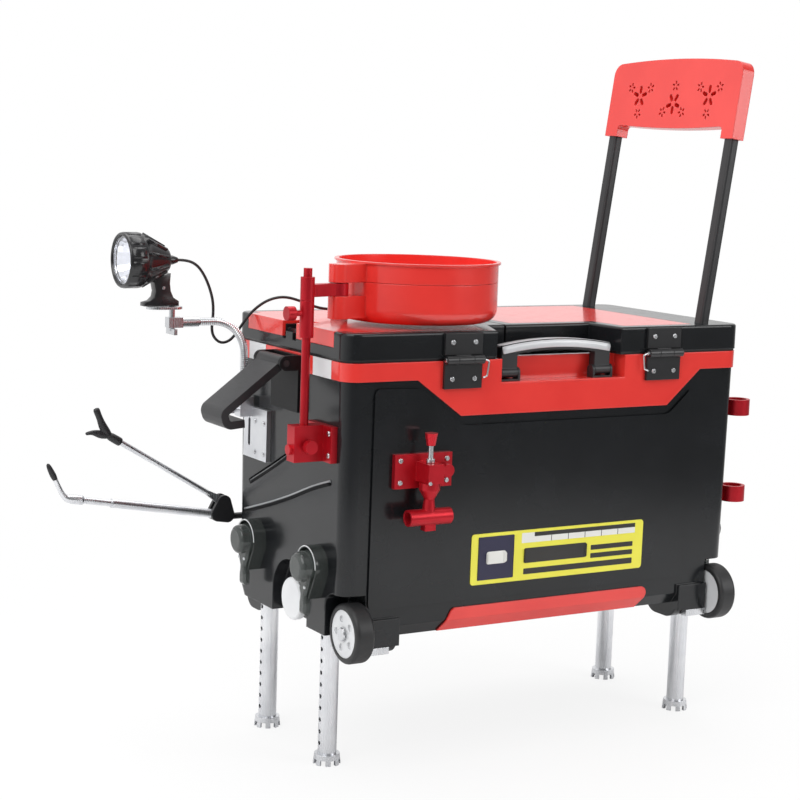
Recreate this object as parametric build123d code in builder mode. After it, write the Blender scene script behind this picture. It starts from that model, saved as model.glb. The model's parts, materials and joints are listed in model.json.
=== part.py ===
from build123d import *
import math
import os

os.makedirs("parts", exist_ok=True)

# Sizes in millimetres. The origin is the middle of the box on the floor, +X runs to the backrest end,
# -Y is the side with the carry handle, and +Z is up.

# Box and lid outline
box_length = 560.0
box_width = 280.0
lid_corner = 18.0
seat_height = 508.0
lid_height = 30.6
seal_height = 2.4
body_bottom = 158.0
body_inset = 2.0
end_draft = 3.0
side_draft = 2.0
body_corner = 17.0
chamfer_height = 14.0
chamfer_run = 10.0

# Walls
shell_wall = 3.0
liner_wall = 2.5
end_wall = 40.0
side_wall = 28.0
floor_wall = 22.0
cavity_corner = 3.0
flange_thickness = 2.5
gap = 0.3
running_fit = 0.05
contact_gap = 0.1

# Trim band under the lid and bumper strip
trim_thickness = 2.0
band_height = 21.0
dip_depth = 64.0
dip_left_bottom = -0.23 * box_length
dip_left_top = -0.336 * box_length
dip_right_bottom = 0.3 * box_length
dip_right_top = 0.3875 * box_length
insert_width = 44.0
insert_offset = box_width / 2 - 58.0
bumper_thickness = 2.5
bumper_height = 28.0
bumper_left = -0.232 * box_length
bumper_right = 0.28 * box_length
bumper_taper = 15.0
bumper_round = 8.0

# Pocket of the carry handle and notch of the lid above it
handle_left_x = -0.109 * box_length
handle_right_x = 0.1285 * box_length
pocket_left = handle_left_x - 17.0
pocket_right = handle_right_x + 31.0
pocket_depth = 24.0
pocket_height = 29.0
notch_left = pocket_left - 6.0
notch_right = handle_right_x + 22.0
notch_depth = 58.0
notch_slant = 26.0
notch_right_slant = 6.0

# Split top
split_x = -0.061 * box_length
split_gap = 2.0
panel_recess = 4.0
panel_border = 16.0
panel_gap = 0.4
panel_right = box_length / 2 - 68.0
lid_edge = 3.0
lid_skin = 6.0
lid_rim = 9.0
skirt_inset = 1.5
wrap_half_width = box_width / 2 - 32.0
wrap_drop = 18.0
wrap_thickness = 4.0
latch_width = 34.0
latch_notch = 30.0
latch_height = 9.0

# Legs, sleeves and locks
leg_x = box_length / 2 - 23.0
leg_y = box_width / 2 - 62.0
leg_radius = 11.0
leg_wall = 2.0
leg_top = body_bottom + 142.0
leg_hole_radius = 2.6
leg_hole_pitch = 14.0
leg_hole_count = 14
sleeve_wall = 1.45
sleeve_top = seat_height - 68.0
foot_radius = 16.2
foot_height = 12.5
foot_teeth = 8
lock_y = leg_y + 1.0
lock_z = body_bottom + 78.0
lock_radius = 24.0
lock_tail_radius = 11.0
lock_tail_drop = 44.0
lock_depth = 17.0
lock_round = 6.0
lever_width = 16.0
lever_thickness = 7.0
lever_length = 66.0
lever_pivot_drop = 6.0
lever_pin_radius = 2.5

# Wheels
wheel_x = box_length / 2 - 20.0
wheel_y = 6.0 - box_width / 2
wheel_z = body_bottom + 11.0
wheel_radius = 34.5
wheel_width = 24.0
hub_radius = 27.5
axle_radius = 4.0
arch_clearance = 3.0
arch_roof = 7.5
arch_round = 20.0
corner_block_end = box_length / 2 - 78.0
corner_block_drop = 8.0
corner_block_rise = 10.0
corner_block_depth = 23.0
lug_width = 13.0
strap_width = 14.0
strap_height = 8.0
lug_drop = 20.0
rear_lug_x = box_length / 2 - 30.0
rear_lug_y = box_width / 2 - 24.0
rear_lug_width = 26.0

# Drain
drain_y = -0.093 * box_width
drain_z = body_bottom + 28.0
drain_cap_radius = 0.0893 * box_width
drain_cap_thickness = 9.0
drain_pipe_radius = 8.0
arch_y = -0.0286 * box_width
arch_half_width = 0.157 * box_width
arch_depth = 20.0
arch_height = 70.0

# Slanting grooves of the left end
groove_width = 4.5
groove_depth = 1.0
groove_high_y = box_width / 2 - 96.5
groove_high_z = body_bottom + 174.5
groove_high_length = 130.0
groove_high_turn = 25.7
groove_low_y = 6.0
groove_low_z = body_bottom + 144.5
groove_low_length = box_width - 48.0
groove_low_turn = 18.0

# Hinges
hinge_left_x = -0.234 * box_length
hinge_right_x = 0.279 * box_length
hinge_width = 50.0
hinge_leaf = 4.0
hinge_drop = 28.0
hinge_rise = 25.0
hinge_axis_out = 6.5
hinge_barrel = 5.0
hinge_pin_radius = 2.4
hinge_slit = 0.4
hinge_middle_share = 20.0
bail_radius = 1.1
bail_reach = 6.0
bail_drop = 19.0
screw_radius = 3.2
screw_height = 1.6
screw_spread = 15.0

# Carry handle
handle_post_width = 22.0
handle_post_depth = 11.0
handle_y = 11.0 - box_width / 2
handle_pivot_lift = 9.5
handle_barrel = 6.0
handle_pin_radius = 2.5
handle_top = seat_height - 12.0
handle_sag = 7.0
handle_grip_height = 13.0
handle_grip_depth = 15.0
handle_lean = 4.0
handle_inlay = 2.0
handle_inlay_width = 9.0
ear_thickness = 3.0
ear_gap = 0.4
foot_plate = 2.0

# Tow handle on the left end
tow_pivot_out = 20.0
tow_pivot_z = seat_height - 44.0
tow_half_width = 28.0
tow_reach = 74.0
tow_drop = 56.0
tow_plate = 9.0
tow_tip_height = 14.0
tow_lip = 26.0
tow_round = 7.0
tow_barrel = 8.5
tow_pin_radius = 4.0
tow_ear = 6.0
tow_base = 5.0
tow_bracket_height = 66.0

# Backrest
back_x = box_length / 2 - 47.0
back_y = box_width / 2 - 22.0
back_lean = 8.0
back_post_x = 13.0
back_post_y = 16.0
back_seat_depth = 24.0
back_post_length = 262.0
back_fit = 0.2
plate_z = seat_height + 227.0
plate_height = 95.0
plate_crown = 6.5
plate_half_width = box_width / 2 - 10.0
plate_thickness = 18.0
plate_bow = 4.0
plate_corner = 16.0
plate_sleeve_width = 24.0
plate_sleeve_drop = 15.0
plate_sag = 3.0
plate_inner_round = 5.0
petal_length = 10.5
petal_width = 5.0
petal_orbit = 8.8
petal_count = 5
flower_pitch = 0.25 * box_width
flower_height = 53.0
flower_step = 9.0
bud_orbit = 22.5
bud_count = 3
bud_petal_length = 4.4
bud_petal_width = 2.6
bud_petal_orbit = 4.6

# Basin on its post
post_out = 25.0
post_y = 50.0 - box_width / 2
post_radius = 4.9
clamp_bottom = seat_height - 147.0
post_foot_z = clamp_bottom + 2.0
post_top = seat_height + 69.0
post_sleeve_radius = 8.0
post_sleeve_bottom = seat_height - 8.0
post_sleeve_top = seat_height + 33.0
post_screw_z = seat_height + 19.0
clamp_height = 41.0
clamp_plate_y = post_y + 2.0
clamp_plate_width = 60.0
clamp_plate = 5.0
clamp_block_width = 18.0
clamp_knob_radius = 7.5
clamp_knob_length = 8.0
clamp_grub_radius = 6.0
clamp_stem_radius = 4.0
clamp_block_out = 16.0
collar_height = 26.0
arm_bottom = seat_height + 37.0
arm_height = 14.0
arm_width = 12.0
arm_eye_radius = 11.0
basin_screw_x = 22.0 - box_length / 2
basin_screw_y = post_y + 14.0
basin_screw_radius = 3.0
basin_x = 143.0 - box_length / 2
basin_y = 95.0 - box_width / 2
basin_radius = 0.3393 * box_width
basin_wall = 2.5
basin_bottom = seat_height + 5.0
basin_seam = seat_height + 52.0
basin_top = seat_height + 75.0
basin_lip = 2.5
basin_round = 16.0
lug_block_width = 24.0
lower_lug_bottom = seat_height + 11.0

# Front turret with its rod tube
turret_x = 99.5 - box_length / 2
turret_z = seat_height - 156.0
turret_plate_length = 75.0
turret_plate_height = 39.0
turret_plate = 6.0
turret_screw_in = 7.0
turret_block_x = 20.0
turret_block_y = 28.0
turret_block_z = 22.0
turret_pin_radius = 3.0
turret_knob_radius = 7.5
turret_knob_flare = 2.5
turret_thumb_offset = 26.7
turret_stem_radius = 3.0
turret_knob_height = 14.0
turret_knob_lift = 20.0
turret_tube_z = turret_z - 50.5
turret_tube_length = 55.0
turret_tube_radius = 9.5
turret_tube_bore = 7.0
neck_disc_radius = 12.0
neck_waist_radius = 6.0

# Umbrella holder on the right end
umbrella_y = 32.0 - box_width / 2
umbrella_out = 27.0
umbrella_radius = 16.0
umbrella_bore = 12.0
umbrella_upper_z = seat_height - 119.0
umbrella_lower_z = body_bottom + 120.0
umbrella_ring_height = 20.0
umbrella_plate_width = 36.0
umbrella_plate = 5.0

# Lamp, its gooseneck and its plate
lamp_y = box_width / 2 - 45.0
lamp_plate_y = lamp_y - 17.0
lamp_plate_width = 62.0
lamp_plate_bottom = seat_height - 173.0
lamp_plate_height = 62.0
lamp_plate_thickness = 3.0
neck_x = -box_length / 2 - 11.5
neck_foot = lamp_plate_bottom + 74.0
neck_height = seat_height - 8.0
neck_bend = 40.0
neck_end = neck_x - 61.5
neck_rib_radius = 4.8
neck_root_radius = 4.1
neck_bore = 2.4
neck_rib_pitch = 2.6
ferrule_radius = 6.0
lamp_pivot_x = neck_end - 33.0
lamp_disc_z = neck_height + 16.0
lamp_disc_thickness = 3.0
lamp_stud_radius = 3.5
lamp_stud_rise = 7.5
lamp_z = neck_height + 73.0
lamp_front = lamp_pivot_x - 65.0
lamp_bezel_radius = 32.0
lamp_bezel_length = 11.0
lamp_body_radius = 28.0
lamp_tail_radius = 17.0
lamp_back = lamp_pivot_x - 12.0
lamp_gland_radius = 5.0
lamp_gland_end = lamp_pivot_x + 6.0
lamp_base_width = 18.0
lens_radius = 28.0
lens_thickness = 3.0
cord_radius = 1.7
grommet_radius = 7.0

# Rod rest behind the box
rest_thick_length = 134.0
rest_z = body_bottom + 90.0
rest_base_x = 84.0 - box_length / 2
rest_pivot_x = -box_length / 2 - 6.0
rest_pivot_z = rest_z + 19.5
rest_stub_radius = 4.0
rest_tube_radius = 5.5
rest_thin_radius = 4.0
rest_arm_radius = 3.6
rest_thick_x = rest_pivot_x - 147.0
rest_thick_z = rest_pivot_z + 8.0
rest_end_x = rest_pivot_x - 192.0
rest_end_z = rest_pivot_z + 15.5
arm_start_x = rest_pivot_x - 17.0
arm_start_z = rest_pivot_z + 10.5
arm_end_x = rest_pivot_x - 143.0
arm_end_z = rest_pivot_z + 86.0
fork_spread = 17.0

# Places worked out from the sizes above
lid_bottom = seat_height - lid_height
rim_top = lid_bottom - seal_height
top_half_x = box_length / 2 - body_inset
top_half_y = box_width / 2 - body_inset
low_half_x = top_half_x - end_draft
low_half_y = top_half_y - side_draft
knee_z = body_bottom + chamfer_height
front_y = -box_width / 2
cavity_half_x = top_half_x - end_wall
cavity_half_y = top_half_y - side_wall
pocket_floor = rim_top - pocket_height
sleeve_outer = leg_radius + running_fit + sleeve_wall
post_x = -box_length / 2 - post_out
turret_out = turret_plate + turret_block_y / 2
turret_y = front_y - turret_out
rest_y = -turret_y
end_sides = (-1, 1)


def body_form(grow, floor, top):
    """The drafted outer form of the box, grown outwards, from a floor height to a top height."""
    with BuildPart() as form:
        with BuildSketch(Plane.XY.offset(floor)):
            RectangleRounded(2 * (low_half_x + grow), 2 * (low_half_y - chamfer_run + grow),
                             body_corner + grow)
        with BuildSketch(Plane.XY.offset(knee_z)):
            RectangleRounded(2 * (low_half_x + grow), 2 * (low_half_y + grow), body_corner + grow)
        with BuildSketch(Plane.XY.offset(top)):
            RectangleRounded(2 * (top_half_x + grow), 2 * (top_half_y + grow), body_corner + grow)
        loft(ruled=True)
    return form.part


def block(low, high):
    """A plain block between two corners."""
    with BuildPart() as piece:
        with Locations(tuple((a + b) / 2 for a, b in zip(low, high))):
            Box(*(b - a for a, b in zip(low, high)))
    return piece.part


def rod(start, end, radius):
    """A round bar between two points."""
    along = Vector(*end) - Vector(*start)
    with BuildPart() as bar:
        with BuildSketch(Plane(origin=start, z_dir=along)):
            Circle(radius)
        extrude(amount=along.length)
    return bar.part


def drain_bore(radius):
    """The way of the drain through the left end."""
    return rod((-box_length / 2 - 1, drain_y, drain_z), (-cavity_half_x + 1, drain_y, drain_z), radius)


def axle_blocks(grow):
    """The blocks at the front corners that hold the wheel axles."""
    with BuildPart() as blocks:
        for side in end_sides:
            inner = side * (corner_block_end - grow)
            outer = side * (wheel_x - wheel_width / 2 - arch_clearance + grow)
            front = wheel_y - axle_radius - shell_wall - grow
            add(block((min(inner, outer), front, body_bottom - corner_block_drop - grow),
                      (max(inner, outer), front + corner_block_depth + 2 * grow,
                       knee_z + corner_block_rise + grow)))
    return blocks.part


def arches(grow):
    """The spaces cut in the lower corners and the left end: two wheel arches and the drain arch."""
    with BuildPart() as spaces:
        for side in end_sides:
            inner = wheel_x - wheel_width / 2 - arch_clearance - grow
            back = wheel_y + wheel_radius + arch_clearance + grow
            roof = wheel_z + wheel_radius + arch_roof + grow
            with BuildSketch(Plane.YZ.offset(side * inner)):
                with Locations(((back - box_width) / 2, 0)):
                    RectangleRounded(box_width + back, 2 * roof, arch_round + grow)
            extrude(amount=side * (box_length - inner))
        arch_end = -box_length / 2 + arch_depth + body_inset + grow
        with BuildSketch(Plane.YZ.offset(arch_end)):
            with Locations((arch_y, body_bottom)):
                SlotOverall(2 * (arch_height + grow), 2 * (arch_half_width + grow), rotation=90)
        extrude(amount=-box_length / 2)
    return spaces.part


def leg_holes(radius, bottom, top):
    """Upright round spaces at the four legs."""
    with BuildPart() as spaces:
        with BuildSketch(Plane.XY.offset(bottom)):
            with GridLocations(2 * leg_x, 2 * leg_y, 2, 2):
                Circle(radius)
        extrude(amount=top - bottom)
    return spaces.part


body_block = body_form(0, body_bottom, rim_top)
body_seat = body_form(contact_gap, body_bottom, rim_top + 1)
arch_cut = arches(0)
arch_walls = arches(shell_wall)
pocket_cut = block((pocket_left, front_y - 5, pocket_floor), (pocket_right, front_y + pocket_depth,
                                                              seat_height))

# Body shell: outer moulding with wheel arches, drain arch, axle blocks and lugs
with BuildPart() as inner_space:
    add(body_form(-shell_wall, body_bottom + shell_wall, rim_top + 1))
    add(arch_walls, mode=Mode.SUBTRACT)
    add(axle_blocks(0), mode=Mode.SUBTRACT)
with BuildPart() as body_shell:
    add(body_block)
    add(axle_blocks(0))
    for side in end_sides:
        lug_floor = body_bottom - lug_drop
        with BuildSketch(Plane.YZ.offset(side * (corner_block_end + lug_width / 2))):
            with Locations((-low_half_y + 1.5 * lug_drop, lug_floor + lug_drop)):
                SlotOverall(3 * lug_drop, 2 * lug_drop)
        extrude(amount=lug_width / 2, both=True)
        with BuildSketch(Plane.YZ.offset(side * rear_lug_x)):
            with Locations((rear_lug_y - lug_drop / 2, lug_floor + lug_drop)):
                SlotOverall(2.4 * lug_drop, 2 * lug_drop - 6)
        extrude(amount=rear_lug_width / 2, both=True)
    add(inner_space.part, mode=Mode.SUBTRACT)
    add(arch_cut, mode=Mode.SUBTRACT)
    add(pocket_cut, mode=Mode.SUBTRACT)
    add(leg_holes(sleeve_outer + running_fit, body_bottom - lug_drop, body_bottom + floor_wall),
        mode=Mode.SUBTRACT)
    add(drain_bore(drain_pipe_radius), mode=Mode.SUBTRACT)
    for side in end_sides:
        with BuildSketch(Plane.YZ.offset(side * wheel_x)):
            with Locations((wheel_y, wheel_z)):
                Circle(axle_radius + running_fit)
        extrude(amount=-side * (wheel_x - corner_block_end - shell_wall), mode=Mode.SUBTRACT)
    with BuildSketch(Plane.YZ.offset(-box_length / 2)):
        with Locations((groove_high_y, groove_high_z)):
            SlotCenterToCenter(groove_high_length, groove_width, rotation=-groove_high_turn)
        with Locations((groove_low_y, groove_low_z)):
            SlotCenterToCenter(groove_low_length, groove_width, rotation=-groove_low_turn)
    extrude(amount=body_inset + end_draft + groove_depth, mode=Mode.SUBTRACT)
body_shell.part.label = "body_shell"
export_step(body_shell.part, "parts/body_shell.step")

# Inner liner: the tub of the cool box, a wall band with a flange on the rim and a floor sheet inside its foot
tub_floor = body_bottom + floor_wall
liner_foot = tub_floor - liner_wall
with BuildPart() as inner_liner:
    with BuildSketch(Plane.XY.offset(liner_foot)):
        RectangleRounded(2 * (cavity_half_x + liner_wall), 2 * (cavity_half_y + liner_wall), cavity_corner)
    extrude(amount=rim_top - liner_foot)
    with BuildSketch(Plane.XY.offset(rim_top)):
        flange_grow = shell_wall + gap
        RectangleRounded(2 * (top_half_x - flange_grow), 2 * (top_half_y - flange_grow),
                         body_corner - flange_grow)
    extrude(amount=-flange_thickness)
    with BuildSketch(Plane.XY.offset(liner_foot)):
        RectangleRounded(2 * cavity_half_x, 2 * cavity_half_y, cavity_corner - liner_wall)
    extrude(amount=rim_top - liner_foot, mode=Mode.SUBTRACT)
    add(block((pocket_left - gap, front_y - 5, tub_floor),
              (pocket_right + gap, front_y + pocket_depth + gap, seat_height)), mode=Mode.SUBTRACT)
    add(drain_bore(drain_pipe_radius), mode=Mode.SUBTRACT)
    with BuildSketch(Plane.XY.offset(liner_foot)):
        RectangleRounded(2 * (cavity_half_x - contact_gap), 2 * (cavity_half_y - contact_gap),
                         cavity_corner - liner_wall - contact_gap)
    extrude(amount=liner_wall)
inner_liner.part.label = "inner_liner"
export_step(inner_liner.part, "parts/inner_liner.step")

# Foam core between shell and liner
with BuildPart() as foam_core:
    add(body_form(-shell_wall - gap, body_bottom + shell_wall + gap, rim_top - flange_thickness - gap))
    with BuildSketch(Plane.XY.offset(tub_floor - liner_wall - gap)):
        foam_grow = liner_wall + gap
        RectangleRounded(2 * (cavity_half_x + foam_grow), 2 * (cavity_half_y + foam_grow),
                         cavity_corner + gap)
    extrude(amount=rim_top, mode=Mode.SUBTRACT)
    add(arches(shell_wall + gap), mode=Mode.SUBTRACT)
    add(axle_blocks(gap), mode=Mode.SUBTRACT)
    add(leg_holes(sleeve_outer + gap, body_bottom, sleeve_top + gap), mode=Mode.SUBTRACT)
    add(block((pocket_left - gap, front_y - 5, pocket_floor - gap),
              (pocket_right + gap, front_y + pocket_depth + gap, seat_height)), mode=Mode.SUBTRACT)
    add(drain_bore(drain_pipe_radius + gap), mode=Mode.SUBTRACT)
foam_core.part.label = "foam_core"
export_step(foam_core.part, "parts/foam_core.step")

# Trim band under the lid, its dip on the front and the pocket of the carry handle
band_bottom = rim_top - band_height
with BuildPart() as band_space:
    with Locations((0, 0, rim_top - band_height / 2)):
        Box(2 * box_length, 2 * box_width, band_height)
    with BuildSketch(Plane.XZ):
        with BuildLine():
            Polyline((dip_left_top, band_bottom), (dip_left_bottom, rim_top - dip_depth),
                     (dip_right_bottom, rim_top - dip_depth), (dip_right_top, band_bottom), close=True)
        make_face()
    extrude(amount=box_width)
with BuildPart() as insert_space:
    for side in end_sides:
        for turn in end_sides:
            with Locations((side * box_length / 2, turn * insert_offset, rim_top - band_height / 2)):
                Box(box_length / 10, insert_width, band_height)
with BuildPart() as rim_trim:
    add(body_form(trim_thickness, body_bottom, rim_top))
    add(body_form(contact_gap, body_bottom, rim_top), mode=Mode.SUBTRACT)
    add(band_space.part, mode=Mode.INTERSECT)
    add(insert_space.part, mode=Mode.SUBTRACT)
    tray_middle = (pocket_left + pocket_right) / 2
    tray_y = front_y + pocket_depth / 2
    with Locations((tray_middle, tray_y, pocket_floor + pocket_height / 2)):
        Box(pocket_right - pocket_left, pocket_depth, pocket_height)
    with Locations((tray_middle, tray_y - trim_thickness,
                    pocket_floor + pocket_height / 2 + trim_thickness)):
        Box(pocket_right - pocket_left - 2 * trim_thickness, pocket_depth, pocket_height,
            mode=Mode.SUBTRACT)
rim_trim.part.label = "rim_trim"
export_step(rim_trim.part, "parts/rim_trim.step")

# Pale inserts of the band on the two ends
with BuildPart() as rim_end_inserts:
    add(body_form(trim_thickness, body_bottom, rim_top))
    add(body_form(contact_gap, body_bottom, rim_top), mode=Mode.SUBTRACT)
    add(insert_space.part, mode=Mode.INTERSECT)
rim_end_inserts.part.label = "rim_end_inserts"
export_step(rim_end_inserts.part, "parts/rim_end_inserts.step")

# Bumper strip over the lower front edge
bumper_top = body_bottom + bumper_height
bumper_slope = side_draft * (bumper_top - knee_z) / (rim_top - knee_z)
with BuildPart() as bumper_section:
    with BuildSketch(Plane.YZ):
        with BuildLine():
            Polyline((chamfer_run - low_half_y - contact_gap, body_bottom), (-low_half_y - contact_gap,
                                                                             knee_z),
                     (-low_half_y - bumper_slope - contact_gap, bumper_top),
                     (-low_half_y - bumper_slope - bumper_thickness, bumper_top),
                     (-low_half_y - bumper_thickness, knee_z),
                     (chamfer_run - low_half_y - bumper_thickness, body_bottom), close=True)
        make_face()
    extrude(amount=box_length / 2, both=True)
with BuildPart() as bumper_strip:
    with BuildSketch(Plane.XZ) as bumper_outline:
        with BuildLine():
            Polyline((bumper_left - bumper_taper, body_bottom - 1), (bumper_left, bumper_top),
                     (bumper_right, bumper_top), (bumper_right - bumper_taper, body_bottom - 1), close=True)
        make_face()
        fillet(bumper_outline.vertices().group_by(Axis.Y)[-1], bumper_round)
    extrude(amount=box_width)
    add(bumper_section.part, mode=Mode.INTERSECT)
bumper_strip.part.label = "bumper_strip"
export_step(bumper_strip.part, "parts/bumper_strip.step")

# Leg sleeves inside the end walls
with BuildPart() as leg_sleeves:
    add(leg_holes(sleeve_outer, body_bottom, sleeve_top))
    add(leg_holes(leg_radius + running_fit, body_bottom, sleeve_top), mode=Mode.SUBTRACT)
leg_sleeves.part.label = "leg_sleeves"
export_step(leg_sleeves.part, "parts/leg_sleeves.step")


def leg(side, turn, name):
    """One telescopic leg: drilled tube and crown foot."""
    with BuildPart() as tube:
        with BuildSketch(Plane.XY.offset(foot_height / 2)):
            with Locations((side * leg_x, turn * leg_y)):
                Circle(leg_radius)
                Circle(leg_radius - leg_wall, mode=Mode.SUBTRACT)
        extrude(amount=leg_top - foot_height / 2)
        with BuildSketch(Plane.YZ.offset(side * leg_x)):
            for row in range(leg_hole_count):
                with Locations((turn * leg_y, 2 * foot_height + row * leg_hole_pitch)):
                    Circle(leg_hole_radius)
        extrude(amount=side * 2 * leg_radius, mode=Mode.SUBTRACT)
        with BuildSketch(Plane.XY):
            with Locations((side * leg_x, turn * leg_y)):
                Circle(foot_radius)
        extrude(amount=foot_height, taper=6)
        with BuildSketch(Plane.XY.offset(-1)):
            with Locations((side * leg_x, turn * leg_y)):
                Circle(foot_radius - 4)
        extrude(amount=foot_height / 2 + 1, mode=Mode.SUBTRACT)
        with Locations((side * leg_x, turn * leg_y)):
            with PolarLocations(foot_radius, foot_teeth):
                Box(2 * foot_radius / 3, foot_radius / 2.6, foot_height, mode=Mode.SUBTRACT)
    tube.part.label = name
    export_step(tube.part, "parts/" + name + ".step")


leg(-1, -1, "leg_front_left")
leg(-1, 1, "leg_rear_left")
leg(1, -1, "leg_front_right")
leg(1, 1, "leg_rear_right")

# Leg lock housings on the two ends
lock_face = box_length / 2 + lock_depth - body_inset - end_draft
pivot_z = lock_z + lock_radius - lever_pivot_drop - lever_thickness
lever_x = lock_face - lever_thickness
slot_floor = lock_face - 2 * lever_thickness
with BuildPart() as lock_housings:
    for side in end_sides:
        for turn in end_sides:
            with BuildSketch(Plane.YZ.offset(side * (lock_face - lock_depth))):
                with Locations((turn * lock_y, lock_z)):
                    Circle(lock_radius)
                with Locations((turn * lock_y, lock_z - lock_tail_drop)):
                    Circle(lock_tail_radius)
                make_hull()
            extrude(amount=side * lock_depth)
            fillet(lock_housings.faces(Select.LAST).sort_by(Axis.X)[-1 if side > 0 else 0].edges(),
                   lock_round)
            with Locations((side * (slot_floor + lock_depth), turn * lock_y, lock_z - lock_tail_drop)):
                slot_height = pivot_z + lever_thickness - lock_z + lock_tail_drop
                Box(2 * lock_depth, lever_width + 2 * gap, 2 * slot_height, mode=Mode.SUBTRACT)
            with BuildSketch(Plane.XZ.offset(-turn * lock_y)):
                with Locations((side * lever_x, pivot_z)):
                    Circle(lever_pin_radius + running_fit)
            extrude(amount=lever_width / 2 + ear_thickness, both=True, mode=Mode.SUBTRACT)
    add(body_seat, mode=Mode.SUBTRACT)
lock_housings.part.label = "lock_housings"
export_step(lock_housings.part, "parts/lock_housings.step")


def lock_lever(side, turn, name):
    """One leg lock lever with its moulded pivot pins."""
    with BuildPart() as lever:
        with BuildSketch(Plane.XZ.offset(-turn * lock_y)):
            with BuildLine():
                Polyline((side * (lever_x - lever_thickness / 2), pivot_z),
                         (side * (lever_x + lever_thickness / 2), pivot_z),
                         (side * (lever_x + lever_thickness / 2), pivot_z - lever_length / 2),
                         (side * (lever_x + lever_thickness), pivot_z - lever_length),
                         (side * (lever_x + lever_thickness / 3), pivot_z - lever_length),
                         (side * (lever_x - lever_thickness / 2), pivot_z - lever_length / 2), close=True)
            make_face()
            with Locations((side * lever_x, pivot_z)):
                Circle(lever_thickness / 2)
        extrude(amount=lever_width / 2, both=True)
        with BuildSketch(Plane.XZ.offset(-turn * lock_y)):
            with Locations((side * lever_x, pivot_z)):
                Circle(lever_pin_radius)
        extrude(amount=lever_width / 2 + ear_thickness - gap, both=True)
    lever.part.label = name
    export_step(lever.part, "parts/" + name + ".step")


lock_lever(-1, -1, "lever_front_left")
lock_lever(-1, 1, "lever_rear_left")
lock_lever(1, -1, "lever_front_right")
lock_lever(1, 1, "lever_rear_right")

# Wheel axles held in the axle blocks, with the steel straps under the blocks
with BuildPart() as wheel_axles:
    for side in end_sides:
        axle_out = wheel_x + wheel_width / 2 + 1
        with BuildSketch(Plane.YZ.offset(side * (corner_block_end + shell_wall))):
            with Locations((wheel_y, wheel_z)):
                Circle(axle_radius)
        extrude(amount=side * (axle_out - corner_block_end - shell_wall))
        with BuildSketch(Plane.YZ.offset(side * axle_out)):
            with Locations((wheel_y, wheel_z)):
                Circle(2 * axle_radius)
        extrude(amount=side * 2, taper=20)
        strap_inner = side * (corner_block_end + lug_width + gap)
        strap_outer = side * (wheel_x - wheel_width / 2 - arch_clearance)
        strap_top = body_bottom - corner_block_drop - gap
        add(block((min(strap_inner, strap_outer), wheel_y - strap_width / 2, strap_top - strap_height),
                  (max(strap_inner, strap_outer), wheel_y + strap_width / 2, strap_top)))
wheel_axles.part.label = "wheel_axles"
export_step(wheel_axles.part, "parts/wheel_axles.step")


def wheel(side, name):
    """One wheel: tyre ring and a dimpled hub disc."""
    inner = side * (wheel_x - wheel_width / 2)
    with BuildPart() as tyre:
        with BuildSketch(Plane.YZ.offset(inner)):
            with Locations((wheel_y, wheel_z)):
                Circle(wheel_radius)
                Circle(hub_radius, mode=Mode.SUBTRACT)
        extrude(amount=side * wheel_width)
        outer_edges = tyre.edges().filter_by(lambda e: abs(e.length - 2 * math.pi * wheel_radius) < 1)
        fillet(outer_edges.filter_by(GeomType.CIRCLE), (wheel_radius - hub_radius) * 0.7)
    tyre.part.label = name + "_tyre"
    export_step(tyre.part, "parts/" + name + "_tyre.step")
    with BuildPart() as hub:
        with BuildSketch(Plane.YZ.offset(inner + side)):
            with Locations((wheel_y, wheel_z)):
                Circle(hub_radius - running_fit)
                Circle(axle_radius + running_fit, mode=Mode.SUBTRACT)
        extrude(amount=side * (wheel_width - 2))
        with BuildSketch(Plane.YZ.offset(inner + side * (wheel_width - 1))):
            with Locations((wheel_y, wheel_z)):
                with PolarLocations(hub_radius * 0.62, 5):
                    Circle(hub_radius / 7)
        extrude(amount=-side * 2, mode=Mode.SUBTRACT)
    hub.part.label = name + "_hub"
    export_step(hub.part, "parts/" + name + "_hub.step")


wheel(-1, "left_wheel")
wheel(1, "right_wheel")

# Drain plug in the arch of the left end
cap_back = -box_length / 2 + body_inset + end_draft + 1
with BuildPart() as drain_plug:
    with BuildSketch(Plane.YZ.offset(cap_back)):
        with Locations((drain_y, drain_z)):
            Circle(drain_cap_radius)
    extrude(amount=-drain_cap_thickness)
    fillet(drain_plug.edges().group_by(Axis.X)[0], drain_cap_thickness / 3)
    with BuildSketch(Plane.YZ.offset(cap_back)):
        with Locations((drain_y, drain_z)):
            Circle(drain_pipe_radius - running_fit)
    extrude(amount=-cavity_half_x - liner_wall / 2 - cap_back)
drain_plug.part.label = "drain_plug"
export_step(drain_plug.part, "parts/drain_plug.step")


def top_outline(depth_in, height, thickness):
    """The lid outline with the handle notch in its front edge, drawn in by a depth."""
    with BuildPart() as slab:
        with BuildSketch(Plane.XY.offset(height)):
            RectangleRounded(box_length - 2 * depth_in, box_width - 2 * depth_in, lid_corner - depth_in)
            with BuildLine():
                notch_back = front_y + notch_depth + depth_in
                Polyline((notch_left - depth_in, front_y - 1), (notch_right + depth_in, front_y - 1),
                         (notch_right - notch_right_slant + depth_in, notch_back),
                         (notch_left + notch_slant - depth_in, notch_back), close=True)
            make_face(mode=Mode.SUBTRACT)
        extrude(amount=thickness)
    return slab.part


def clip_right(piece, edge):
    """What lies left of an upright plane across the box."""
    with BuildPart() as kept:
        add(piece)
        add(block((-box_length, -box_width, 0), (edge, box_width, 2 * seat_height)), mode=Mode.INTERSECT)
    return kept.part


def clip_left(piece, edge):
    """What lies right of an upright plane across the box."""
    with BuildPart() as kept:
        add(piece)
        add(block((edge, -box_width, 0), (box_length, box_width, 2 * seat_height)), mode=Mode.INTERSECT)
    return kept.part


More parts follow.
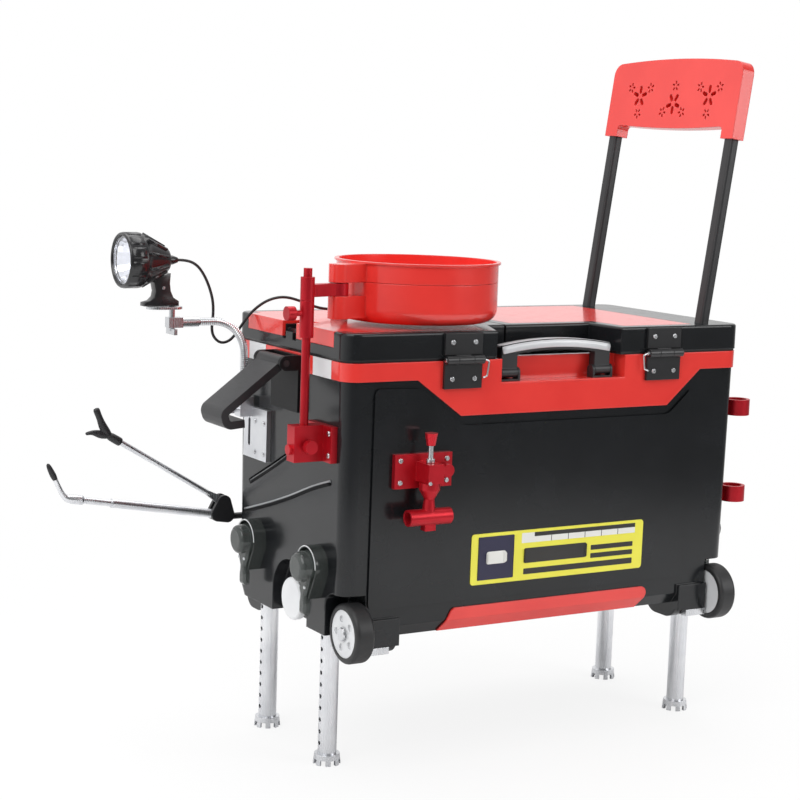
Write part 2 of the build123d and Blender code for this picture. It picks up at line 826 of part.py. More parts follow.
def end_wrap(grow):
    """The strip of the deck panel that runs to the left end and folds down over it."""
    end = -box_length / 2
    half = wrap_half_width + grow
    top = 2 * seat_height if grow else seat_height
    with BuildPart() as strip:
        add(block((end - grow, -half, panel_floor), (end + panel_border + 2, half, top)))
        add(block((end - grow, -half, seat_height - wrap_drop - grow), (end + wrap_thickness + grow, half,
                                                                        top)))
    return strip.part


panel_floor = seat_height - panel_recess
deck_edge = split_x - split_gap
hollow_height = seat_height - panel_recess - lid_skin - rim_top
lid_hollow = top_outline(lid_rim, rim_top, hollow_height)
panel_slab = top_outline(panel_border, panel_floor, panel_recess)
panel_pocket = top_outline(panel_border - panel_gap, panel_floor, panel_recess + 1)
latch_end = -box_length / 2 + latch_notch
latch_floor = lid_bottom + lid_height / 3
with BuildPart() as lid_form:
    add(top_outline(0, lid_bottom, lid_height))
    fillet(lid_form.edges().group_by(Axis.Z)[-1], lid_edge)

# Left deck: fixed half of the top, with a moulded catch in a notch at its end
with BuildPart() as deck_frame:
    add(clip_right(lid_form.part, deck_edge))
    add(clip_right(top_outline(skirt_inset, rim_top, seal_height), deck_edge))
    add(clip_right(lid_hollow, deck_edge - lid_rim), mode=Mode.SUBTRACT)
    add(clip_right(panel_pocket, deck_edge - panel_border + panel_gap), mode=Mode.SUBTRACT)
    add(end_wrap(panel_gap), mode=Mode.SUBTRACT)
    add(block((-box_length, -latch_width / 2, latch_floor), (latch_end, latch_width / 2, 2 * seat_height)),
        mode=Mode.SUBTRACT)
    add(block((-box_length / 2, -latch_width / 4, latch_floor), (latch_end - 6, latch_width / 4,
                                                                 latch_floor + latch_height)))
    add(rod((-box_length / 2 + latch_notch / 3, -latch_width / 2, latch_floor + latch_height),
            (-box_length / 2 + latch_notch / 3, latch_width / 2,
             latch_floor + latch_height), latch_height / 3))
deck_frame.part.label = "deck_frame"
export_step(deck_frame.part, "parts/deck_frame.step")

# Red panel of the deck
with BuildPart() as deck_panel:
    add(clip_right(panel_slab, deck_edge - panel_border))
    add(end_wrap(0))
    latch_half = latch_width / 2 + panel_gap
    add(block((-box_length, -latch_half, 0), (latch_end + panel_gap, latch_half, 2 * seat_height)),
        mode=Mode.SUBTRACT)
deck_panel.part.label = "deck_panel"
export_step(deck_panel.part, "parts/deck_panel.step")


def back_plane(turn):
    """The leaning plane of one backrest post where it leaves the lid."""
    lean = math.radians(back_lean)
    return Plane(origin=(back_x, turn * back_y, seat_height), x_dir=(math.cos(lean), 0, -math.sin(lean)),
                 z_dir=(math.sin(lean), 0, math.cos(lean)))


def back_posts(grow, depth, rise):
    """Both backrest posts, grown by a fit, from below the lid top up to a length."""
    with BuildPart() as posts:
        for turn in end_sides:
            with BuildSketch(back_plane(turn).offset(-depth)):
                RectangleRounded(back_post_x + 2 * grow, back_post_y + 2 * grow, 4)
            extrude(amount=depth + rise)
    return posts.part


# Seat lid: hinged half of the top that carries the backrest
with BuildPart() as seat_frame:
    add(clip_left(lid_form.part, split_x))
    add(clip_right(clip_left(lid_hollow, split_x + lid_rim), panel_right), mode=Mode.SUBTRACT)
    add(clip_right(clip_left(panel_pocket, split_x + panel_border - panel_gap), panel_right + panel_gap),
        mode=Mode.SUBTRACT)
    add(back_posts(gap, back_seat_depth, back_seat_depth), mode=Mode.SUBTRACT)
seat_frame.part.label = "seat_frame"
export_step(seat_frame.part, "parts/seat_frame.step")

# Red panel of the seat
with BuildPart() as seat_panel:
    add(clip_right(clip_left(panel_slab, split_x + panel_border), panel_right))
seat_panel.part.label = "seat_panel"
export_step(seat_panel.part, "parts/seat_panel.step")

# Rubber seal under the seat lid
seal_outer = lid_rim - skirt_inset
with BuildPart() as seat_seal:
    add(clip_left(top_outline(skirt_inset, rim_top + contact_gap, seal_height - contact_gap),
                  split_x + skirt_inset))
    add(clip_left(top_outline(seal_outer, rim_top, seal_height), split_x + seal_outer), mode=Mode.SUBTRACT)
seat_seal.part.label = "seat_seal"
export_step(seat_seal.part, "parts/seat_seal.step")

# Backrest posts
with BuildPart() as backrest_posts:
    add(back_posts(0, back_seat_depth - gap, back_post_length))
backrest_posts.part.label = "backrest_posts"
export_step(backrest_posts.part, "parts/backrest_posts.step")

# Backrest plate: bowed plate that leans with the posts, with sleeves over them and three pierced flowers
post_run = (plate_z - seat_height) * math.tan(math.radians(back_lean))
plate_x = back_x + post_run - plate_bow * (1 - (back_y / (plate_half_width + plate_thickness)) ** 2)
plate_top = plate_z + plate_height
with BuildSketch(Plane.YZ) as plate_face:
    with BuildLine():
        ThreePointArc((-plate_half_width, plate_top), (0, plate_top + plate_crown), (plate_half_width,
                                                                                     plate_top))
        Polyline((plate_half_width, plate_top), (plate_half_width, plate_z), (-plate_half_width, plate_z),
                 (-plate_half_width, plate_top))
    make_face()
    fillet(plate_face.vertices().group_by(Axis.Y)[-1], plate_corner)
with BuildPart() as plate_blank:
    with BuildSketch(Plane.XY.offset(plate_z)):
        with BuildLine():
            front_x = plate_x - plate_thickness / 2
            rear_x = plate_x + plate_thickness / 2
            blank_half = plate_half_width + plate_thickness
            front_left = (front_x, -blank_half)
            front_right = (front_x, blank_half)
            rear_left = (rear_x, -blank_half)
            rear_right = (rear_x, blank_half)
            ThreePointArc(front_left, (front_x + plate_bow, 0), front_right)
            Line(front_right, rear_right)
            ThreePointArc(rear_right, (rear_x + plate_bow, 0), rear_left)
            Line(rear_left, front_left)
        make_face()
    extrude(amount=plate_height + plate_thickness)
    with BuildSketch(Plane.YZ.offset(plate_x)):
        with Locations((0, plate_top)):
            Rectangle(4 * plate_half_width, 4 * plate_height)
        add(plate_face.sketch_local, mode=Mode.SUBTRACT)
    extrude(amount=2 * plate_thickness, both=True, mode=Mode.SUBTRACT)
    with BuildSketch(Plane.YZ.offset(plate_x)) as plate_recess:
        recess_half = plate_half_width - plate_sleeve_width
        recess_top = plate_z + plate_sleeve_drop
        with BuildLine():
            ThreePointArc((-recess_half, recess_top), (0, recess_top - plate_sag), (recess_half,
                                                                                    recess_top))
            Polyline((recess_half, recess_top), (recess_half, plate_z - 1), (-recess_half, plate_z - 1),
                     (-recess_half, recess_top))
        make_face()
        fillet(plate_recess.vertices().group_by(Axis.Y)[-1], plate_inner_round)
    extrude(amount=2 * plate_thickness, both=True, mode=Mode.SUBTRACT)
    with BuildSketch(Plane.YZ.offset(plate_x)):
        for place in (-1, 0, 1):
            upward = 1 if place else -1
            height = flower_height if place else flower_height - flower_step
            with Locations((place * flower_pitch, plate_z + height)):
                with PolarLocations(petal_orbit, petal_count, start_angle=90 * upward):
                    SlotOverall(petal_length, petal_width)
                with PolarLocations(bud_orbit, bud_count, start_angle=-90 * upward):
                    with PolarLocations(bud_petal_orbit, petal_count):
                        SlotOverall(bud_petal_length, bud_petal_width)
    extrude(amount=2 * plate_thickness, both=True, mode=Mode.SUBTRACT)
with BuildPart() as backrest_plate:
    add(plate_blank.part.rotate(Axis((plate_x, 0, plate_z), (0, 1, 0)), back_lean))
    add(back_posts(back_fit, back_seat_depth, back_post_length + back_fit), mode=Mode.SUBTRACT)
backrest_plate.part.label = "backrest_plate"
export_step(backrest_plate.part, "parts/backrest_plate.step")

# Front hinges: leaves with knuckles, pins with wire bails
hinge_y = front_y - hinge_axis_out
hinge_z = rim_top + seal_height / 2
middle_half = hinge_middle_share / 2
leaf_back = front_y - gap


def hinge_lower(x):
    """The leaf on the body with the two outer knuckles."""
    with BuildPart() as leaf:
        with Locations((x, leaf_back - hinge_leaf / 2, hinge_z - hinge_barrel - hinge_drop / 2)):
            Box(hinge_width, hinge_leaf, hinge_drop)
        for turn in end_sides:
            inner = x + turn * (middle_half + hinge_slit)
            outer = x + turn * hinge_width / 2
            add(rod((inner, hinge_y, hinge_z), (outer, hinge_y, hinge_z), hinge_barrel))
            low = min(inner, outer)
            high = max(inner, outer)
            add(block((low, leaf_back - hinge_leaf, hinge_z - hinge_barrel - 1), (high, leaf_back,
                                                                                  hinge_z)))
        add(rod((x - hinge_width, hinge_y, hinge_z), (x + hinge_width, hinge_y, hinge_z),
                hinge_pin_radius + running_fit), mode=Mode.SUBTRACT)
    return leaf.part


def hinge_upper(x):
    """The leaf on the lid with the middle knuckle."""
    with BuildPart() as leaf:
        rise_from = hinge_z + hinge_barrel + hinge_slit
        with Locations((x, front_y - hinge_leaf / 2, rise_from + hinge_rise / 2)):
            Box(hinge_width, hinge_leaf, hinge_rise)
        add(block((x - middle_half, front_y - hinge_leaf, hinge_z + 1), (x + middle_half, front_y,
                                                                         rise_from + 1)))
        add(rod((x - middle_half, hinge_y, hinge_z), (x + middle_half, hinge_y, hinge_z), hinge_barrel))
        add(rod((x - hinge_width, hinge_y, hinge_z), (x + hinge_width, hinge_y, hinge_z),
                hinge_pin_radius + running_fit), mode=Mode.SUBTRACT)
    return leaf.part


def hinge_wire(x, turn):
    """The pin of one hinge, with the wire bail at one side that pulls it."""
    end = x + turn * (hinge_width / 2 + 2)
    with BuildPart() as wire:
        add(rod((x - turn * (hinge_width / 2 + 1), hinge_y, hinge_z), (end, hinge_y, hinge_z),
                hinge_pin_radius))
        with BuildLine() as bail:
            FilletPolyline((end, hinge_y, hinge_z), (end + turn * bail_reach, hinge_y, hinge_z - 2),
                           (end + turn * bail_reach * 0.6, hinge_y, hinge_z - bail_drop),
                           (end - turn * 2.0, hinge_y, hinge_z - bail_drop - 2), radius=2 * bail_radius)
        with BuildSketch(Plane(origin=bail.line @ 0, z_dir=bail.line % 0)):
            Circle(bail_radius)
        sweep()
    return wire.part


with BuildPart() as hinge_leaves:
    add(hinge_lower(hinge_left_x))
    add(hinge_upper(hinge_left_x))
    add(hinge_lower(hinge_right_x))
hinge_leaves.part.label = "hinge_leaves"
export_step(hinge_leaves.part, "parts/hinge_leaves.step")

with BuildPart() as hinge_wires:
    add(hinge_wire(hinge_left_x, 1))
    add(hinge_wire(hinge_right_x, -1))
hinge_wires.part.label = "hinge_wires"
export_step(hinge_wires.part, "parts/hinge_wires.step")

with BuildPart() as seat_hinge_leaf:
    add(hinge_upper(hinge_right_x))
seat_hinge_leaf.part.label = "seat_hinge_leaf"
export_step(seat_hinge_leaf.part, "parts/seat_hinge_leaf.step")

# Carry handle in the front pocket
handle_pivot_z = pocket_floor + trim_thickness + handle_pivot_lift
grip_y = handle_y + handle_lean
handle_middle = (handle_left_x + handle_right_x) / 2
grip_left = handle_left_x - handle_post_width / 2
grip_right = handle_right_x + handle_post_width / 2
ear_inner = handle_post_width / 2 + ear_gap


def grip_band(top, height, depth):
    """An arched band along the grip."""
    with BuildPart() as band:
        with BuildSketch(Plane.XZ.offset(-grip_y)):
            with BuildLine():
                ThreePointArc((grip_left, top - handle_sag), (handle_middle, top), (grip_right,
                                                                                    top - handle_sag))
                Line((grip_right, top - handle_sag), (grip_right, top - handle_sag - height))
                ThreePointArc((grip_right, top - handle_sag - height), (handle_middle, top - height),
                              (grip_left, top - handle_sag - height))
                Line((grip_left, top - handle_sag - height), (grip_left, top - handle_sag))
            make_face()
        extrude(amount=depth / 2, both=True)
    return band.part


with BuildPart() as carry_handle:
    add(grip_band(handle_top, handle_grip_height, handle_grip_depth))
    for x in (handle_left_x, handle_right_x):
        post_top_z = handle_top - handle_sag - 1
        with Locations((x, handle_y + handle_lean / 2, (handle_pivot_z + post_top_z) / 2)):
            Box(handle_post_width, handle_post_depth, post_top_z - handle_pivot_z)
        add(rod((x - handle_post_width / 2, handle_y, handle_pivot_z), (x + handle_post_width / 2, handle_y,
                                                                        handle_pivot_z), handle_barrel))
        pin_half = ear_inner + ear_thickness
        add(rod((x - pin_half, handle_y, handle_pivot_z), (x + pin_half, handle_y, handle_pivot_z),
                handle_pin_radius))
    add(grip_band(handle_top + 1, handle_inlay + 1, handle_inlay_width + gap), mode=Mode.SUBTRACT)
carry_handle.part.label = "carry_handle"
export_step(carry_handle.part, "parts/carry_handle.step")

with BuildPart() as handle_insert:
    add(grip_band(handle_top, handle_inlay, handle_inlay_width))
handle_insert.part.label = "handle_insert"
export_step(handle_insert.part, "parts/handle_insert.step")

with BuildPart() as handle_feet:
    feet_floor = pocket_floor + trim_thickness
    for x in (handle_left_x, handle_right_x):
        foot_half = ear_inner + ear_thickness
        add(block((x - foot_half, handle_y - handle_barrel, feet_floor),
                  (x + foot_half, handle_y + handle_barrel, feet_floor + foot_plate)))
        for turn in end_sides:
            near = min(x + turn * ear_inner, x + turn * foot_half)
            far = max(x + turn * ear_inner, x + turn * foot_half)
            add(block((near, handle_y - handle_barrel, feet_floor), (far, handle_y + handle_barrel,
                                                                     handle_pivot_z)))
            add(rod((near, handle_y, handle_pivot_z), (far, handle_y, handle_pivot_z), handle_barrel))
        add(rod((x - 2 * foot_half, handle_y, handle_pivot_z), (x + 2 * foot_half, handle_y,
                                                                handle_pivot_z),
                handle_pin_radius + running_fit), mode=Mode.SUBTRACT)
handle_feet.part.label = "handle_feet"
export_step(handle_feet.part, "parts/handle_feet.step")

# Tow handle and its bracket on the left end
end_x = -box_length / 2
tow_x = end_x - tow_pivot_out
tow_ear_inner = tow_half_width + ear_gap
with BuildPart() as tow_bracket:
    ear_half = tow_ear_inner + tow_ear
    add(block((end_x - tow_base, -ear_half, tow_pivot_z + tow_barrel - tow_bracket_height),
              (end_x + body_inset + end_draft, ear_half, tow_pivot_z + tow_barrel)))
    for turn in end_sides:
        near = min(turn * tow_ear_inner, turn * ear_half)
        far = max(turn * tow_ear_inner, turn * ear_half)
        add(block((tow_x, near, tow_pivot_z - tow_barrel), (end_x - 1, far, tow_pivot_z + tow_barrel)))
        add(rod((tow_x, near, tow_pivot_z), (tow_x, far, tow_pivot_z), tow_barrel))
    add(rod((tow_x, -2 * ear_half, tow_pivot_z), (tow_x, 2 * ear_half, tow_pivot_z),
            tow_pin_radius + running_fit),
        mode=Mode.SUBTRACT)
    add(body_form(trim_thickness + gap, body_bottom, rim_top), mode=Mode.SUBTRACT)
tow_bracket.part.label = "tow_bracket"
export_step(tow_bracket.part, "parts/tow_bracket.step")

with BuildPart() as tow_handle:
    tip_x = tow_x - tow_reach
    tip_z = tow_pivot_z - tow_drop
    with BuildSketch(Plane.XZ):
        with BuildLine():
            FilletPolyline((tow_x, tow_pivot_z), (tip_x, tip_z), (tip_x + tow_plate / 2,
                                                                  tip_z - tow_tip_height),
                           (tip_x + tow_lip, tip_z - tow_tip_height + 2), radius=tow_round)
        trace(line_width=tow_plate)
        with Locations((tow_x, tow_pivot_z)):
            Circle(tow_barrel - gap)
    extrude(amount=tow_half_width, both=True)
    pin_end = tow_ear_inner + tow_ear - gap
    add(rod((tow_x, -pin_end, tow_pivot_z), (tow_x, pin_end, tow_pivot_z), tow_pin_radius))
tow_handle.part.label = "tow_handle"
export_step(tow_handle.part, "parts/tow_handle.step")

# Clamp and post of the basin on the left end
with BuildPart() as post_clamp:
    clamp_top = clamp_bottom + clamp_height
    half_plate = clamp_plate_width / 2
    half_block = clamp_block_width / 2
    add(block((end_x - clamp_plate, clamp_plate_y - half_plate, clamp_bottom),
              (end_x + body_inset + end_draft, clamp_plate_y + half_plate, clamp_top)))
    add(block((post_x - clamp_block_out, post_y - half_block, clamp_bottom),
              (end_x - 1, post_y + half_block, clamp_top)))
    grub_z = clamp_bottom + clamp_height / 3
    add(rod((post_x - clamp_block_out - 4, post_y, grub_z), (post_x, post_y, grub_z), clamp_grub_radius))
    thumb_z = clamp_bottom + 0.44 * clamp_height
    thumb_back = post_y - half_block - clamp_knob_length / 2
    add(rod((post_x, post_y, thumb_z), (post_x, thumb_back - 1, thumb_z), clamp_stem_radius))
    add(rod((post_x, thumb_back, thumb_z), (post_x, thumb_back - clamp_knob_length, thumb_z),
            clamp_knob_radius))
    add(rod((post_x, post_y, post_foot_z), (post_x, post_y, post_top), post_radius + running_fit),
        mode=Mode.SUBTRACT)
    add(body_seat, mode=Mode.SUBTRACT)
post_clamp.part.label = "post_clamp"
export_step(post_clamp.part, "parts/post_clamp.step")

with BuildPart() as basin_post:
    add(rod((post_x, post_y, post_foot_z), (post_x, post_y, post_top), post_radius))
    add(rod((post_x, post_y, post_sleeve_bottom), (post_x, post_y, post_sleeve_top), post_sleeve_radius))
    add(rod((post_x, post_y, post_screw_z), (post_x - 2.2 * post_sleeve_radius, post_y, post_screw_z),
            post_sleeve_radius / 2.5))
    add(rod((post_x - 2 * post_sleeve_radius, post_y, post_screw_z),
            (post_x - 3.2 * post_sleeve_radius, post_y, post_screw_z), post_sleeve_radius))
basin_post.part.label = "basin_post"
export_step(basin_post.part, "parts/basin_post.step")

# Swinging arm between the post and the basin
collar_bottom = post_sleeve_top + gap
with BuildPart() as basin_arm:
    add(rod((post_x, post_y, collar_bottom), (post_x, post_y, collar_bottom + collar_height),
            post_sleeve_radius))
    with BuildSketch(Plane.XY.offset(arm_bottom)):
        with Locations((post_x, post_y), (basin_screw_x, basin_screw_y)):
            Circle(arm_width / 2)
        make_hull()
        with Locations((basin_screw_x, basin_screw_y)):
            Circle(arm_eye_radius)
    extrude(amount=arm_height)
    add(rod((post_x, post_y, 0), (post_x, post_y, 2 * post_top), post_radius + running_fit),
        mode=Mode.SUBTRACT)
    add(rod((basin_screw_x, basin_screw_y, 0), (basin_screw_x, basin_screw_y, 2 * post_top),
            basin_screw_radius + running_fit), mode=Mode.SUBTRACT)
basin_arm.part.label = "basin_arm"
export_step(basin_arm.part, "parts/basin_arm.step")

# Bait bowl and the tray that closes it, both on the screw of the arm
bowl_top = basin_seam - gap
lug_way = Vector(basin_screw_x - basin_x, basin_screw_y - basin_y).normalized()
wall_x = basin_x + lug_way.X * (basin_radius - basin_wall)
wall_y = basin_y + lug_way.Y * (basin_radius - basin_wall)


def basin_lug(bottom, top):
    """The block that reaches from the basin wall round the screw."""
    with BuildPart() as lug:
        with BuildSketch(Plane.XY.offset(bottom)):
            with Locations((basin_screw_x, basin_screw_y), (wall_x, wall_y)):
                Circle(lug_block_width / 2)
            make_hull()
        extrude(amount=top - bottom)
    return lug.part


with BuildPart() as bowl_space:
    with BuildSketch(Plane.XY.offset(basin_bottom + basin_wall)):
        with Locations((basin_x, basin_y)):
            Circle(basin_radius - basin_wall)
    extrude(amount=basin_top - basin_bottom)
    fillet(bowl_space.edges().group_by(Axis.Z)[0], basin_round - basin_wall)
with BuildPart() as bait_bowl:
    with BuildSketch(Plane.XY.offset(basin_bottom)):
        with Locations((basin_x, basin_y)):
            Circle(basin_radius)
    extrude(amount=bowl_top - basin_bottom)
    fillet(bait_bowl.edges().group_by(Axis.Z)[0], basin_round)
    add(basin_lug(lower_lug_bottom, arm_bottom - gap))
    add(bowl_space.part, mode=Mode.SUBTRACT)
    add(rod((basin_screw_x, basin_screw_y, lower_lug_bottom + 1), (basin_screw_x, basin_screw_y,
                                                                   basin_top - 4),
            basin_screw_radius))
bait_bowl.part.label = "bait_bowl"
export_step(bait_bowl.part, "parts/bait_bowl.step")

with BuildPart() as bait_tray:
    with BuildSketch(Plane.XY.offset(basin_seam)):
        with Locations((basin_x, basin_y)):
            Circle(basin_radius)
    extrude(amount=basin_top - basin_seam)
    with BuildSketch(Plane.XY.offset(basin_top - basin_lip)):
        with Locations((basin_x, basin_y)):
            Circle(basin_radius + basin_lip)
    extrude(amount=basin_lip)
    add(basin_lug(basin_seam, basin_top - basin_lip))
    with BuildSketch(Plane.XY.offset(basin_seam + basin_wall)):
        with Locations((basin_x, basin_y)):
            Circle(basin_radius - basin_wall)
    extrude(amount=basin_top, mode=Mode.SUBTRACT)
    add(rod((basin_screw_x, basin_screw_y, 0), (basin_screw_x, basin_screw_y, basin_top - 3),
            basin_screw_radius + running_fit), mode=Mode.SUBTRACT)
bait_tray.part.label = "bait_tray"
export_step(bait_tray.part, "parts/bait_tray.step")


def turret_base(x, side, z):
    """A bracket plate with its block on the front or the rear of the box, not yet bored."""
    face = side * box_width / 2
    outer = face + side * turret_plate
    tip = outer + side * turret_block_y
    with BuildPart() as base:
        inside = face - side * turret_plate
        add(block((x - turret_plate_length / 2, min(outer, inside), z - turret_plate_height / 2),
                  (x + turret_plate_length / 2, max(outer, inside), z + turret_plate_height / 2)))
        add(block((x - turret_block_x / 2, min(tip, face), z - turret_block_z / 2),
                  (x + turret_block_x / 2, max(tip, face), z + turret_block_z / 2)))
        thumb_x = x + turret_thumb_offset
        add(rod((thumb_x, face, z), (thumb_x, outer + side * 5, z), turret_stem_radius))
        add(rod((thumb_x, outer + side * 4, z), (thumb_x, outer + side * 11, z), turret_knob_radius))
        add(body_form(contact_gap, body_bottom, rim_top), mode=Mode.SUBTRACT)
    return base.part


# Turret bases: the front one turns the rod tube, the rear one carries the rod rest
with BuildPart() as turret_bases:
    add(turret_base(turret_x, -1, turret_z))
    add(turret_base(rest_base_x, 1, rest_z))
    add(rod((turret_x, turret_y, 0), (turret_x, turret_y, seat_height), turret_pin_radius + running_fit),
        mode=Mode.SUBTRACT)
    add(rod((rest_base_x - turret_block_x, rest_y, rest_z), (rest_base_x + turret_block_x / 4, rest_y,
                                                             rest_z),
            rest_stub_radius + running_fit), mode=Mode.SUBTRACT)
turret_bases.part.label = "turret_bases"
export_step(turret_bases.part, "parts/turret_bases.step")

# Pull knob with its pin down the front turret
block_top = turret_z + turret_block_z / 2
block_floor_z = turret_z - turret_block_z / 2
knob_z = block_top + turret_knob_lift
with BuildPart() as turret_knob:
    add(rod((turret_x, turret_y, block_floor_z - 16), (turret_x, turret_y, knob_z + 1), turret_pin_radius))
    with BuildSketch(Plane.XY.offset(knob_z)):
        with Locations((turret_x, turret_y)):
            Circle(turret_knob_radius - turret_knob_flare)
    with BuildSketch(Plane.XY.offset(knob_z + turret_knob_height)):
        with Locations((turret_x, turret_y)):
            Circle(turret_knob_radius)
    loft(ruled=True)
    add(rod((turret_x, turret_y, block_top + gap), (turret_x, turret_y, block_top + 5),
            turret_pin_radius + 2))
turret_knob.part.label = "turret_knob"
export_step(turret_knob.part, "parts/turret_knob.step")

# Swivelling neck with the rod tube
neck_top = block_floor_z - gap
with BuildPart() as turret_neck:
    add(rod((turret_x, turret_y, neck_top - 8), (turret_x, turret_y, neck_top), neck_disc_radius))
    with BuildSketch(Plane.XY.offset(neck_top - 8)):
        with Locations((turret_x, turret_y)):
            Circle(neck_disc_radius)
    with BuildSketch(Plane.XY.offset((neck_top + turret_tube_z) / 2 + 1)):
        with Locations((turret_x, turret_y)):
            Circle(neck_waist_radius)
    with BuildSketch(Plane.XY.offset(turret_tube_z)):
        with Locations((turret_x, turret_y)):
            Circle(turret_tube_radius - 1)
    loft(ruled=True)
    tube_half = turret_tube_length / 2
    add(rod((turret_x - tube_half, turret_y, turret_tube_z), (turret_x + tube_half, turret_y,
                                                              turret_tube_z),
            turret_tube_radius))
    add(block((turret_x - 7, turret_y - 5, turret_tube_z - turret_tube_radius - 6),
              (turret_x + 7, turret_y + 5, turret_tube_z)))
    add(rod((turret_x - tube_half, turret_y, turret_tube_z), (turret_x + tube_half, turret_y,
                                                              turret_tube_z),
            turret_tube_bore), mode=Mode.SUBTRACT)
    add(rod((turret_x, turret_y, block_floor_z - 16.5), (turret_x, turret_y, block_floor_z + 1),
            turret_pin_radius + running_fit), mode=Mode.SUBTRACT)
turret_neck.part.label = "turret_neck"
export_step(turret_neck.part, "parts/turret_neck.step")

# Umbrella holder: two rings on a plate of the right end
umbrella_x = box_length / 2 + umbrella_out
umbrella_free = umbrella_upper_z - umbrella_lower_z - umbrella_ring_height
with BuildPart() as umbrella_holder:
    plate_inner_y = umbrella_y + umbrella_plate_width + 4
    add(block((box_length / 2 - body_inset - end_draft, umbrella_y + 4, umbrella_lower_z - 6),
              (box_length / 2 + umbrella_plate, plate_inner_y,
               umbrella_upper_z + umbrella_ring_height + 6)))
    for z in (umbrella_lower_z, umbrella_upper_z):
        add(rod((umbrella_x, umbrella_y, z), (umbrella_x, umbrella_y, z + umbrella_ring_height),
                umbrella_radius))
        add(block((box_length / 2, umbrella_y + 4, z + 2),
                  (umbrella_x, umbrella_y + umbrella_radius, z + umbrella_ring_height - 2)))
    add(rod((umbrella_x, umbrella_y, 0), (umbrella_x, umbrella_y, seat_height), umbrella_bore),
        mode=Mode.SUBTRACT)
    add(body_seat, mode=Mode.SUBTRACT)
umbrella_holder.part.label = "umbrella_holder"
export_step(umbrella_holder.part, "parts/umbrella_holder.step")

# Lamp plate with the clamp block that holds the gooseneck
with BuildPart() as lamp_plate:
    plate_left = lamp_plate_y - lamp_plate_width / 2
    plate_right = lamp_plate_y + lamp_plate_width / 2
    lamp_plate_top = lamp_plate_bottom + lamp_plate_height
    add(block((end_x - lamp_plate_thickness, plate_left, lamp_plate_bottom),
              (end_x + body_inset + end_draft, plate_right, lamp_plate_top)))
    add(block((neck_x - 7, lamp_y - 8, lamp_plate_top - 12), (end_x - 1, lamp_y + 8, neck_foot)))
    add(rod((neck_x, lamp_y, lamp_plate_top - 4), (neck_x - 16, lamp_y, lamp_plate_top - 4), 3))
    add(block((neck_x - 20, lamp_y - 9, lamp_plate_top - 7), (neck_x - 15, lamp_y + 9, lamp_plate_top - 1)))
    with BuildSketch(Plane.YZ.offset(end_x)):
        with Locations((lamp_plate_y + lamp_plate_width / 4, lamp_plate_bottom + lamp_plate_height / 2)):
            SlotOverall(lamp_plate_height * 0.55, 6, rotation=90)
    extrude(amount=2 * lamp_plate_thickness, both=True, mode=Mode.SUBTRACT)
    add(body_seat, mode=Mode.SUBTRACT)
lamp_plate.part.label = "lamp_plate"
export_step(lamp_plate.part, "parts/lamp_plate.step")

# Gooseneck: ribbed tube with its bore, up, over a quarter bend and out
rise_length = neck_height - neck_bend - neck_foot
bend_length = neck_bend * math.pi / 2
run_length = neck_x - neck_bend - neck_end
neck_length = rise_length + bend_length + run_length


def neck_station(s):
    """Point and direction of the gooseneck at a length along it."""
    if s <= rise_length:
        return Vector(neck_x, lamp_y, neck_foot + s), Vector(0, 0, 1)
    if s <= rise_length + bend_length:
        angle = (s - rise_length) / neck_bend
        x = neck_x - neck_bend * (1 - math.cos(angle))
        z = neck_height - neck_bend * (1 - math.sin(angle))
        return Vector(x, lamp_y, z), Vector(-math.sin(angle), 0, math.cos(angle))
    return Vector(neck_x - neck_bend - (s - rise_length - bend_length), lamp_y, neck_height), Vector(-1, 0,
                                                                                                     0)


rib_count = int(neck_length / neck_rib_pitch)
rib_step = neck_length / rib_count
rib_circles = ((0.0, neck_root_radius), (0.3, neck_rib_radius), (0.6, neck_rib_radius), (0.9,
                                                                                         neck_root_radius))
with BuildPart() as gooseneck:
    for rib in range(rib_count):
        for share, radius in rib_circles:
            point, along = neck_station((rib + share) * rib_step)
            with BuildSketch(Plane(origin=point, x_dir=(0, 1, 0), z_dir=along)):
                Circle(radius)
    end_point, end_along = neck_station(neck_length)
    with BuildSketch(Plane(origin=end_point, x_dir=(0, 1, 0), z_dir=end_along)):
        Circle(neck_root_radius)
    loft(ruled=True)
    with BuildLine() as neck_path:
        Line((neck_x, lamp_y, neck_foot - 1), (neck_x, lamp_y, neck_height - neck_bend))
        bend_mid, bend_along = neck_station(rise_length + bend_length / 2)
        ThreePointArc((neck_x, lamp_y, neck_height - neck_bend), bend_mid, (neck_x - neck_bend, lamp_y,
                                                                            neck_height))
        Line((neck_x - neck_bend, lamp_y, neck_height), (neck_end - 1, lamp_y, neck_height))
    with BuildSketch(Plane(origin=(neck_x, lamp_y, neck_foot - 1), z_dir=(0, 0, 1))):
        Circle(neck_bore)
    sweep(mode=Mode.SUBTRACT)
gooseneck.part.label = "gooseneck"
export_step(gooseneck.part, "parts/gooseneck.step")
print("gooseneck ribs", rib_count, "length", round(neck_length, 1))

